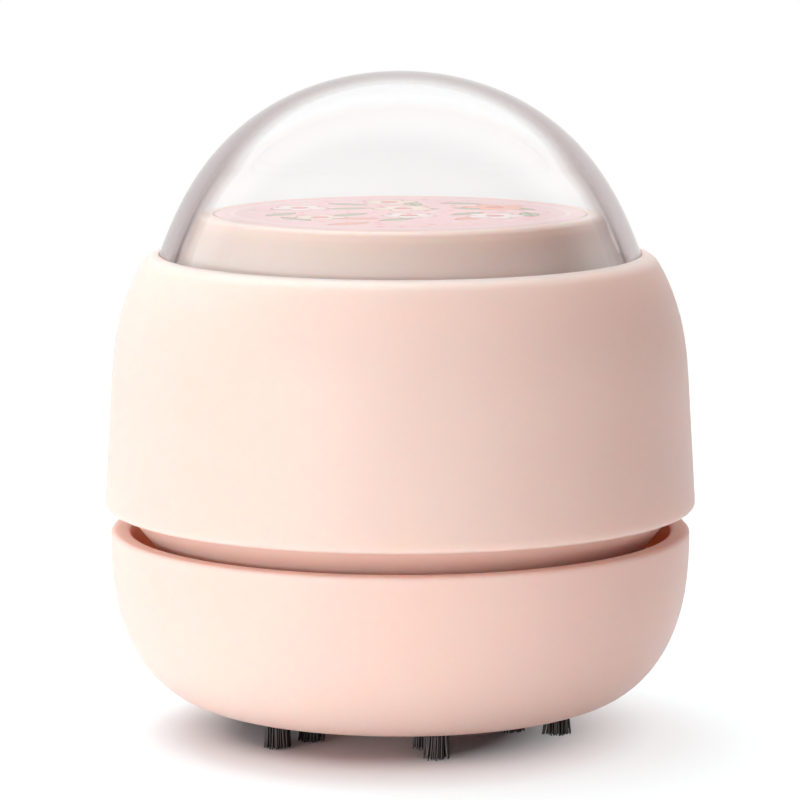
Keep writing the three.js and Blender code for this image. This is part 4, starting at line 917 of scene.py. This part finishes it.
# A turned profile: the shoulder stands fuller than the plain side by a power of the height, and the
# lip rolls over from it as (1 - t) squared times its start + 2 t (1 - t) times the pull point +
# t squared times its end. Columns, webs and ears stand inside, with bores for their screws.
def makeHousing(sizes):
    foot, lip, wall = levels["housingFoot"], levels["lip"], sizes["wall"]
    lipInner = lambda h: float(domeSide(levels["domeTop"] - h)) + sizes["lipGap"]
    start, over = sizes["fullerZ"]
    fullSide = lambda h: housingSide(h) + sizes["fuller"] * np.clip((h - start) / over, 0, 1) ** 1.6
    shoulder, underLip = lip - sizes["shoulderDrop"], lip - sizes["lipDepth"]
    first, last = np.array([float(fullSide(shoulder)), shoulder]), np.array([lipInner(lip) + 0.1, lip])
    share = np.linspace(0, 1, sizes["rollSteps"])[:, None]
    roll = (1 - share) ** 2 * first + 2 * share * (1 - share) * np.array(sizes["rollPull"]) + share**2 * last
    corners = [
        (float(housingSide(foot)) - wall, foot, 0.3),
        (sizes["foot"], foot, sizes["footRound"]),
        (sizes["footOut"], foot + sizes["footRound"] + 0.4, 0),
        *sampled(housingSide, foot + 2.0, housingCurve["shoulderZ"], 10),
        *sampled(fullSide, housingCurve["shoulderZ"], shoulder, 58)[1:-1],
        *[(r, h, 0) for r, h in roll.tolist()],
        (lipInner(lip - 0.1), lip - 0.1, 0),
        (lipInner(underLip), underLip, 0.15),
        (sizes["bore"], underLip - 1.3, 0.2),
        (sizes["bore"], sizes["boreLow"], 0.2),
        *sampled(lambda h: housingSide(h) - wall, foot + 0.6, start, 24)[::-1],
    ]
    shell = turned("housing_shell", supported(rounded(corners)))
    low, ears, far = sizes["columnLow"], sizes["ears"], sizes["earCircle"]
    reach, wide = sizes["webReach"], sizes["web"]
    webs = [(barOutline(columnCircle, reach, wide, a), low, sizes["webHigh"]) for a in threeWays]
    combine(shell, postsAt(sizes["column"], columnCircle, threeWays, low, sizes["columnHigh"], 32), "UNION")
    combine(shell, webs, "UNION")
    combine(shell, postsAt(sizes["ear"], far, ears, sizes["earLow"], sizes["earHigh"], 32), "UNION")
    bores = postsAt(shank, columnCircle, threeWays, low - 1, 44.4)
    bores += postsAt(shank, far, ears, sizes["earLow"] - 1, 60.9)
    return combine(shell, bores, "DIFFERENCE")


housing = makeHousing(housingSizes)

portSizes = {
    "width": 9.6,
    "height": 3.8,
    "lampX": 9.4,
    "lampRadius": 1.1,
    "start": 36.9,
    "end": 46,
    "steps": 16,
}


# The mouth for the charging plug and the lamp's hole: outlines of x and height carried back along +Y.
def makePorts(sizes):
    end, start = sizes["height"] / 2, sizes["start"]
    half = sizes["width"] / 2 - end
    angle = np.radians(np.linspace(-90, 90, sizes["steps"]))
    right = np.column_stack([half + end * np.cos(angle), end * np.sin(angle)])
    slot = np.concatenate([right, -right])
    lamp = circle(sizes["lampRadius"], steps=32) + [sizes["lampX"], 0]
    return laidBack(prisms("ports", [(slot, start, sizes["end"]), (lamp, start, sizes["end"])]), 0, plugZ)


combine(housing, makePorts(portSizes), "DIFFERENCE")
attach(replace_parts(housing, "upper_housing"), "head")
paint(housing, "shell")

coneSizes = {
    "collar": 30.2,
    "neck": 40.2,
    "wall": 2.2,
    "spigotGap": 0.3,
    "foot": 16.5,
    "groove": (17.4, 19.0),
    "grooveDeep": 1.2,
    "low": 19.6,
    "top": 36.2,
    "bore": 27.8,
    "seat": 18.9,
    "seatIn": 1.4,
    "floor": 19.9,
    "roomTop": 38.0,
    "wellWall": 3.3,
    "well": 2.5,
    "vents": 16,
    "vent": (3.2, 8.8),
    "ventZ": (21.5, 25.7),
    "ventClear": 16.9,
}


# A turned profile: a grooved collar, a straight conical side, and a spigot that enters the housing.
# A well round each screw is kept to the cone's inside, and vents are cut where no well stands.
def makeCone(sizes):
    foot, wall, bore, collar = levels["housingFoot"], sizes["wall"], sizes["bore"], sizes["collar"]
    spigot = float(housingSide(sizes["top"])) - wall - sizes["spigotGap"]
    inGroove, inSeat = collar - sizes["grooveDeep"], bore - sizes["seatIn"]
    corners = [
        (bore, sizes["foot"], 0.3),
        (collar, sizes["foot"], 0.4),
        (collar, sizes["groove"][0], 0.12),
        (inGroove, sizes["groove"][0], 0.12),
        (inGroove, sizes["groove"][1], 0.12),
        (collar, sizes["groove"][1], 0.12),
        (collar, sizes["low"], 0.3),
        (sizes["neck"], foot, 0.2),
        (spigot, foot + 0.3, 0.1),
        (spigot, sizes["top"], 0.3),
        (spigot - wall, sizes["top"], 0.3),
        (spigot - wall, foot + 0.7, 0.2),
        (spigot - 3.7, foot + 0.7, 0.2),
        (spigot - 3.7, foot - 0.74, 0.1),
        (float(coneSide(sizes["floor"])) - wall, sizes["floor"], 0.2),
        (inSeat, sizes["floor"], 0.2),
        (inSeat, sizes["seat"], 0.2),
        (bore, sizes["seat"], 0.1),
    ]
    cone = turned("cone_shell", supported(rounded(corners)))
    low, high = sizes["low"], foot + 0.7
    room = [[0, low], [collar, low], [sizes["neck"], foot], [sizes["roomTop"], high], [0, high]]
    inside = turned("inside", room, 120)
    wells = prisms("wells", postsAt(sizes["wellWall"], columnCircle, threeWays, low, high, 40))
    combine(cone, combine(wells, inside, "INTERSECT"), "UNION")
    combine(cone, postsAt(sizes["well"], columnCircle, threeWays, 16.0, foot - 0.9, 40), "DIFFERENCE")
    combine(cone, postsAt(shank, columnCircle, threeWays, 30.0, foot + 2), "DIFFERENCE")
    angles = (np.arange(sizes["vents"]) + 0.5) * 360 / sizes["vents"]
    fromWell = np.abs((angles[:, None] - np.array(threeWays) + 180) % 360 - 180).min(1)
    (width, long), (ventLow, ventHigh) = sizes["vent"], sizes["ventZ"]
    middle = float(coneSide(ventLow)) - wall / 2
    vents = [
        (barOutline(middle - long / 2, middle + long / 2, width, a), ventLow, ventHigh)
        for a in angles[fromWell > sizes["ventClear"]]
    ]
    return combine(cone, vents, "DIFFERENCE")


cone = makeCone(coneSizes)
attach(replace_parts(cone, "fan_housing"), "head")
# The cone shows in the gap under the head, in the copy of the shell with painted shade.
paint(cone, "gapShadedShell")

sealCorners = [
    (29.3, 17.7, 0.15),
    (30.0, 17.7, 0.15),
    (30.3, 18.2, 0.2),
    (30.0, 18.7, 0.15),
    (29.3, 18.7, 0.15),
]
sealRing = turned("seal_ring", supported(rounded(sealCorners)))
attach(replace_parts(sealRing, "collar_seal"), "head")
paint(sealRing, "silicone")
print("upper half made")

# The dome, the pedestal and the disc are one button.
domeSizes = {"wall": 1.8, "steps": 90, "onSide": 0.02}


# Outer side by depth, points crowded to the pole; the inner side is the outer one drawn in by the wall.
# The attribute is 1 where a point lies on the outer side.
def makeDome(sizes):
    top, foot = levels["domeTop"], levels["domeFoot"]
    height = top - foot
    depth = height * np.linspace(0, 1, sizes["steps"]) ** 2
    radius = domeSide(depth)
    outer = np.column_stack([radius, top - depth])
    narrow, low = 1 - sizes["wall"] / float(domeSide(np.array(height))), 1 - sizes["wall"] / height
    inner = np.column_stack([radius * narrow, foot + (height - depth) * low])
    shell = turned("dome_shell", np.concatenate([outer, inner[::-1]]))
    points = pointsOf(shell) / mm
    off = np.hypot(points[:, 0], points[:, 1]) - domeSide(np.clip(top - points[:, 2], 0, None))
    outside = (np.abs(off) < sizes["onSide"]).astype(np.float32)
    shell.data.attributes.new("outerSide", "FLOAT", "POINT").data.foreach_set("value", outside)
    return shell


dome = makeDome(domeSizes)
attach(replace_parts(dome, "clear_dome"), "top_button")
paint(dome, "clear")
dome.visible_shadow = False  # clear plastic: the pedestal under it is lit as if it weren't there

capSizes = {
    "topRound": 1.1,
    "wall": 1.8,
    "ceiling": 73.0,
    "flange": 36.2,
    "flangeIn": 31.9,
    "flangeLow": 64.6,
    "flangeTop": 66.1,
    "picture": 27.02,
    "pictureDeep": 0.8,
    "post": 1.9,
    "postLow": 59.9,
    "press": 2.6,
    "pressY": 18.5,
    "pressLow": 70.2,
    "joinZ": 73.5,
}


# A turned profile: the pedestal's side with its inner side drawn in by the wall, a flange at its foot,
# and a quarter round at its top. Round posts stand under it, one of them over the switch.
def makeCap(sizes):
    top, wall, turn = levels["pedestalTop"], sizes["wall"], sizes["topRound"]
    angle = np.radians(np.linspace(12, 90, 12))
    inner = pedestalCurve["top"] - turn
    crown = [(inner + turn * math.cos(a), top - turn + turn * math.sin(a), 0) for a in angle]
    corners = [
        (0, sizes["ceiling"], 0),
        (float(pedestalSide(sizes["ceiling"])) - wall, sizes["ceiling"], 0.4),
        *sampled(lambda h: pedestalSide(h) - wall, 66.0, 72.0, 16)[::-1],
        (sizes["flangeIn"], sizes["flangeLow"], 0.2),
        (sizes["flange"], sizes["flangeLow"], 0.2),
        (sizes["flange"], sizes["flangeTop"], 0.2),
        *sampled(pedestalSide, sizes["flangeTop"] + 0.2, top - 1.3, 28),
        *crown,
        (sizes["picture"], top, 0.15),
        (sizes["picture"], top - sizes["pictureDeep"], 0.1),
        (0, top - sizes["pictureDeep"], 0),
    ]
    cap = turned("pedestal_shell", supported(rounded(corners)))
    posts = postsAt(sizes["post"], postCircle, threeWays, sizes["postLow"], sizes["joinZ"], 24)
    posts.append((circle(sizes["press"], (0, sizes["pressY"]), 24), sizes["pressLow"], sizes["joinZ"]))
    return combine(cap, posts, "UNION")


cap = makeCap(capSizes)
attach(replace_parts(cap, "button_cap"), "top_button")
paint(cap, "cap")

# The printed disc is a flat round with a slightly rounded edge.
discSizes = {"radius": 26.9, "low": 75.1, "high": 75.6, "steps": 160}
radius, low, high = discSizes["radius"], discSizes["low"], discSizes["high"]
discCorners = [(0, low, 0), (radius, low, 0.1), (radius, high, 0.12), (0, high, 0)]
disc = turned("print_disc", supported(rounded(discCorners)), discSizes["steps"])
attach(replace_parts(disc, "picture_disc"), "top_button")
paint(disc, "print")
print("button made")

# Finer pieces for the small parts that show from below, from behind and with the head lifted.
filterSizes = {
    "inner": 25.7,
    "flange": 29.7,
    "foot": 15.5,
    "flangeTop": 16.2,
    "ring": 27.5,
    "ringTop": 18.1,
    "ribs": 6,
    "ribWide": 1.2,
    "ribTop": 17.0,
    "hub": 3.0,
}


# A turned ring with a flange, straight ribs across it at even angles, and a round hub.
def makeFrame(sizes):
    inner, foot, ribTop = sizes["inner"], sizes["foot"], sizes["ribTop"]
    corners = [
        (inner, foot, 0.15),
        (sizes["flange"], foot, 0.25),
        (sizes["flange"], sizes["flangeTop"], 0.15),
        (sizes["ring"], sizes["flangeTop"], 0.05),
        (sizes["ring"], sizes["ringTop"], 0.3),
        (inner, sizes["ringTop"], 0.3),
    ]
    ring = turned("filter_ring", supported(rounded(corners)))
    reach, across = inner + 0.4, 360 / sizes["ribs"]
    for i in range(sizes["ribs"] // 2):
        rib = barOutline(-reach, reach, sizes["ribWide"], i * across)
        combine(ring, [(rib, foot + 0.05, ribTop)], "UNION")
    return combine(ring, [(circle(sizes["hub"], steps=48), foot + 0.03, ribTop + 0.02)], "UNION")


filterFrame = makeFrame(filterSizes)
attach(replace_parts(filterFrame, "filter_frame"), "head")
paint(filterFrame, "whitePlastic")

feltCorners = [(0, 17.3, 0), (25.4, 17.3, 0.2), (25.4, 18.3, 0.35), (0, 18.3, 0)]
filterFelt = turned("filter_mat", supported(rounded(feltCorners)))
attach(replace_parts(filterFelt, "filter_felt"), "head")
paint(filterFelt, "felt")

inletCorners = [
    (9, 20.2, 0.5),
    (28.15, 20.2, 0.1),
    (28.15, 21.4, 0.1),
    (10, 21.4, 0.2),
    (10, 22.5, 0.35),
    (9, 22.5, 0.35),
]
inletPlate = turned("inlet_ring", supported(rounded(inletCorners)))
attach(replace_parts(inletPlate, "fan_inlet_plate"), "head")
paint(inletPlate, "whitePlastic")

screwSizes = {
    "head": 2.0,
    "headHigh": 1.0,
    "crown": 0.45,
    "pitch": 0.7,
    "thread": 0.16,
    "slot": 0.5,
    "slotDeep": 0.55,
    "reach": 1.15,
    "steps": 40,
}


# A screw stands on its head: a rounded head with a cross cut in it, and a shank whose radius rises and
# falls once in each pitch.
def makeScrew(name, place, low, tip, sizes):
    top, head, core = low + sizes["headHigh"], sizes["head"], shank - sizes["thread"]
    ridges = []
    for i in range(int((tip - top - 1.6) / sizes["pitch"])):
        z = top + 0.6 + i * sizes["pitch"]
        ridges += [(core, z, 0), (shank, z + sizes["pitch"] * 0.4, 0)]
    corners = [
        (0, low, 0),
        (head * 0.72, low + 0.02, 0.4),
        (head, low + sizes["crown"], 0.4),
        (head, top, 0.12),
        (shank, top, 0.1),
        *ridges,
        (core, tip - 0.9, 0),
        (0, tip, 0),
    ]
    screw = turned(name, rounded(corners), sizes["steps"])
    for angle in (20, 110):
        bar = barOutline(-sizes["reach"], sizes["reach"], sizes["slot"], angle)
        combine(screw, [(bar, low - 0.5, low + sizes["slotDeep"])], "DIFFERENCE")
    return moved(screw, (*place, 0))


for index, angle in enumerate(screwAngles):
    screw = makeScrew(f"nozzle_fixing_{index + 1}", onCircle(screwCircle, angle), 4.5, 12.5, screwSizes)
    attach(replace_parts(screw, f"nozzle_screw_{index + 1}"), "dust_cup")
    paint(screw, "steel")
for index, angle in enumerate(threeWays):
    screw = makeScrew(f"housing_fixing_{index + 1}", onCircle(columnCircle, angle), 30.7, 43.7, screwSizes)
    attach(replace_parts(screw, f"housing_screw_{index + 1}"), "head")
    paint(screw, "steel")

springSizes = {
    "wire": 0.6,
    "radius": 4.1,
    "turns": 4.5,
    "low": 59.0,
    "high": 72.7,
    "flat": 0.7,
    "perTurn": 44,
    "sides": 10,
    "travel": 2.5,
}


# A spring's wire goes round its post and climbs evenly between two ends that lie nearly flat.
# Each ring of the wire stands at radius + half the wire times cos b, and height + half the wire times sin b.
def makeSpring(name, place, sizes):
    turns, flat, columns, half = sizes["turns"], sizes["flat"], sizes["sides"], sizes["wire"] / 2
    turn = np.linspace(0, turns, int(turns * sizes["perTurn"]) + 1)
    low, high = sizes["low"], sizes["high"]
    heights = (low + half, low + half * 2.4, high - half * 2.4, high - half)
    centre = np.interp(turn, (0, flat, turns - flat, turns), heights)
    b = np.arange(columns) * 2 * np.pi / columns
    radius = sizes["radius"] + half * np.cos(b)[None, :] + 0 * turn[:, None]
    angle = turn[:, None] * 2 * np.pi
    height = centre[:, None] + half * np.sin(b)[None, :]
    points = np.stack([place[0] + radius * np.cos(angle), place[1] + radius * np.sin(angle), height], -1)
    rows = len(turn)
    ends = [list(range(columns)), list(range((rows - 1) * columns, rows * columns))[::-1]]
    return newPiece(name, points.reshape(-1, 3), gridFaces(rows, columns, False).tolist() + ends, 50)


# A spring stands round each post, each with a mesh of its own.
for index, angle in enumerate(threeWays):
    spring = makeSpring(f"return_coil_{index + 1}", onCircle(postCircle, angle), springSizes)
    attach(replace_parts(spring, f"button_spring_{index + 1}"), "head")
    paint(spring, "steel")
    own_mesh(spring)

lampCorners = [(0, 35.58, 0), (0.8, 35.58, 0.05), (0.8, 41.1, 0.3), (0, 41.16, 0)]
lightPipe = laidBack(turned("lamp_window", rounded(lampCorners), 48), portSizes["lampX"], plugZ)
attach(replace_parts(lightPipe, "light_pipe"), "head")
paint(lightPipe, "clear")

socketSizes = {
    "width": 8.9,
    "height": 3.1,
    "wall": 0.4,
    "start": 31.875,
    "end": 39.175,
    "tongue": (3.2, 0.35),
    "tongueAt": (0.5, 5.84),
}


# A flat oval: its ends are rounded by nearly half its height.
def slotOutline(width, height, steps=14):
    end = height * 0.47
    half, up = width / 2 - end, height / 2 - end
    angle = np.radians(np.linspace(0, 90, steps))
    corner = np.column_stack([half + end * np.cos(angle), up + end * np.sin(angle)])
    right = np.concatenate([(corner * [1, -1])[::-1], corner])
    return np.concatenate([right, -right])


# The sleeve is open at its mouth. The tongue stands in it, in black plastic.
def makeSocket(sizes):
    width, height, start, end = (sizes[key] for key in ("width", "height", "start", "end"))
    sleeve = prisms("socket_sleeve", [(slotOutline(width, height), start, end)])
    inside = slotOutline(width - sizes["wall"] * 2, height - sizes["wall"] * 2)
    combine(sleeve, [(inside, start + 0.8, end + 1)], "DIFFERENCE")
    (x, y), (near, far) = sizes["tongue"], sizes["tongueAt"]
    flat = np.array([[-x, -y], [x, -y], [x, y], [-x, y]])
    combine(sleeve, [(flat, start + near, start + far)], "UNION")
    return laidBack(sleeve, 0, plugZ)


chargeSocket = makeSocket(socketSizes)
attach(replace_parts(chargeSocket, "charge_socket"), "head")
paint(chargeSocket, "steel", "blackPlastic")
centres = np.zeros(len(chargeSocket.data.polygons) * 3)
chargeSocket.data.polygons.foreach_get("center", centres)
x, y, z = centres.reshape(-1, 3).T / mm
onTongue = (np.abs(x) < 3.3) & (np.abs(z - plugZ) < 0.4) & (y > 32.7)
chargeSocket.data.polygons.foreach_set("material_index", onTongue.astype(np.int32))
print("small parts made")

# CAD nodes that stay, by the start of their names. The rest are white plastic.
keptFinishes = {
    "steel": ("motor_screw", "board_screw", "deck_screw", "motor_can", "motor_shaft"),
    "blackPlastic": ("motor_end_cap", "push_switch"),
    "brass": ("motor_bearing", "motor_terminal"),
    "iron": ("motor_magnet", "motor_armature"),
    "wrap": ("battery_cell",),
    "foam": ("battery_pad",),
    "board": ("charge_board",),
    "redWire": ("cell_wire_red", "switch_motor_wire", "switch_board_wire"),
    "blackWire": ("cell_wire_black", "motor_board_wire"),
}
for name, node in nodes.items():
    if node.hide_render:
        continue
    node.data.materials.clear()
    paint(node, next((f for f, starts in keptFinishes.items() if name.startswith(starts)), "whitePlastic"))
print("CAD nodes finished")

# Metres, but for the pitch in degrees and the lens in millimetres.
studio = {
    "camera": (-0.00004, -0.642, 0.1406),
    "pitch": 8.196,
    "lens": 200.24,
    "near": -3.0,
    "turnAt": 1.6,
    "turn": 0.8,
    "high": 3.0,
    "half": 4.0,
}


# A floor that turns up into a backdrop: a profile of length and height carried along X.
def makeSweep(sizes):
    angle = np.radians(np.linspace(0, 90, 24))
    start, turn = sizes["turnAt"], sizes["turn"]
    bend = np.column_stack([start + turn * np.sin(angle), turn - turn * np.cos(angle)])
    profile = np.concatenate([[[sizes["near"], 0]], bend, [[start + turn, sizes["high"]]]])
    rows = len(profile)
    across = np.tile([-sizes["half"], sizes["half"]], rows)
    i = np.arange(rows - 1)
    faces = np.column_stack([i * 2, i * 2 + 1, i * 2 + 3, i * 2 + 2]).tolist()
    sweep = linked("studio_sweep", np.column_stack([across, np.repeat(profile, 2, axis=0)]), faces)
    sweep.data.polygons.foreach_set("use_smooth", np.ones(len(faces), bool))
    return sweep


# 1 for a ray from the camera, a gloss or a clear part, 0 for one that carries light to a surface,
# also where a clear part lies in its way.
def seenRay(owner):
    path = addNode(owner, "ShaderNodeLightPath").outputs
    seen = reckon(owner, "MAXIMUM", path["Is Camera Ray"], path["Is Glossy Ray"])
    seen = reckon(owner, "MAXIMUM", seen, path["Is Transmission Ray"])
    return reckon(owner, "SUBTRACT", seen, path["Diffuse Depth"], clamp=True)


# White paper: plain and diffuse, as the object's light sees it. Where it is seen it keeps the shadow
# right under the object, lifts it further out, and turns to an even white in the distance. From below
# it is clear, so that the object's underside can be looked at.
def paperMaterial(name, sizes):
    mat, shader = newMaterial(name)
    seen = seenRay(mat)
    length = reckonPlace(mat, "LENGTH", reckonPlace(mat, "SUBTRACT", placeAt(mat), sizes["middle"]))
    out = ranged(mat, length, 0, 1, *sizes["shadow"])
    seenPaper = blendColours(mat, out, sizes["nearColour"], sizes["seenColour"])
    setOn(
        mat,
        shader,
        Base_Color=blendColours(mat, seen, sizes["colour"], seenPaper),
        Roughness=1,
        Specular_IOR_Level=0,
        Emission_Color=(1, 1, 1, 1),
        Emission_Strength=reckon(mat, "MULTIPLY", reckon(mat, "MULTIPLY", seen, out), sizes["lift"]),
    )
    away = reckon(mat, "MULTIPLY", seen, ranged(mat, length, 0, 1, *sizes["white"]))
    white = addNode(mat, "ShaderNodeEmission", Strength=1.0).outputs[0]
    above = addNode(mat, "ShaderNodeMixShader", away, shader.outputs[0], white).outputs[0]
    back = addNode(mat, "ShaderNodeNewGeometry").outputs["Backfacing"]
    through = addNode(mat, "ShaderNodeBsdfTransparent").outputs[0]
    sided = addNode(mat, "ShaderNodeMixShader", back, above, through).outputs[0]
    setOn(mat, mat.node_tree.nodes["Material Output"], Surface=sided)
    return mat


# Places are in metres, as the shader sees them.
paper = {
    "colour": (0.96, 0.93, 0.92),
    # Where it is seen the paper leans blue, so that the shade kept on it reads grey rather than pink: a
    # painted tint of the shade.
    "seenColour": (0.34, 0.43, 0.45),
    "lift": 0.71,
    "nearColour": (0.88, 0.96, 1.0),
    # The kept shadow is centred a little left of and in front of the object.
    "middle": (-0.004, -0.004, 0),
    "shadow": (0.019, 0.041),
    "white": (0.13, 0.5),
}
sweep = makeSweep(studio)
sweep.data.materials.append(paperMaterial("paper", paper))
sweep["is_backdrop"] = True


# The room's light: white from the left, warm from the front and the right, by the cosine of the
# direction to each. Behind the object it is seen as white.
def makeWorld(name, sides):
    world = bpy.data.worlds.new(name)
    world.use_nodes = True
    parts = addNode(world, "ShaderNodeSeparateXYZ", placeAt(world, "Generated")).outputs
    total = (0, 0, 0)
    for side in sides.values():
        strength = ranged(world, parts[side["axis"]], 0, side["strength"], 0, side["towards"])
        total = reckonPlace(world, "MULTIPLY_ADD", strength, side["colour"], total)
    white = reckon(world, "MULTIPLY", seenRay(world), ranged(world, parts["Y"], 0, 1, 0, 0.35))
    setOn(world, world.node_tree.nodes["Background"], Color=reckonPlace(world, "MAXIMUM", total, white))
    return world


roomLight = {
    "left": {"axis": "X", "towards": -1, "strength": 0.67, "colour": (1, 1, 1)},
    "right": {"axis": "X", "towards": 1, "strength": 0.07, "colour": (1, 0.32, 0.27)},
    "front": {"axis": "Y", "towards": -1, "strength": 0.77, "colour": (1, 0.61, 0.575)},
}
bpy.context.scene.world = makeWorld("studio", roomLight)

lamps = {
    "key": {"place": (-0.75, -0.95, 0.11), "size": (0.8, 0.25), "watts": 6.4, "colour": (1, 0.96, 0.94)},
    "top": {"place": (-0.2, 0.28, 1.08), "size": (0.84, 0.9), "watts": 12.0, "colour": (1, 1, 1)},
}
target = np.array([0, 0, 0.045])
clearOnes = bpy.data.collections.new("no_lamp_glint")  # the lamps' square glints stay off the dome
clearOnes.objects.link(dome)
clearOnes.collection_objects[0].light_linking.link_state = "EXCLUDE"
for name, values in lamps.items():
    data = bpy.data.lights.new(name, "AREA")
    data.shape = "RECTANGLE"
    data.size, data.size_y = values["size"]
    data.energy, data.color = values["watts"], values["colour"]
    lamp = bpy.data.objects.new(name, data)
    bpy.context.scene.collection.objects.link(lamp)
    lamp.light_linking.receiver_collection = clearOnes
    lamp.location = values["place"]
    x, y, z = target - np.array(values["place"])
    lamp.rotation_euler = (math.atan2(math.hypot(x, y), -z), 0, math.atan2(x, -y) + math.pi)

cameraData = bpy.data.cameras.new("camera")
cameraData.sensor_width = 36
cameraData.lens = studio["lens"]
cameraData.clip_start, cameraData.clip_end = 0.01, 20
camera = bpy.data.objects.new("camera", cameraData)
bpy.context.scene.collection.objects.link(camera)
camera.location = studio["camera"]
camera.rotation_euler = (math.radians(90 - studio["pitch"]), 0, 0)
bpy.context.scene.camera = camera
bpy.context.scene.view_settings.view_transform = "Standard"
print("studio set")

low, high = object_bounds()
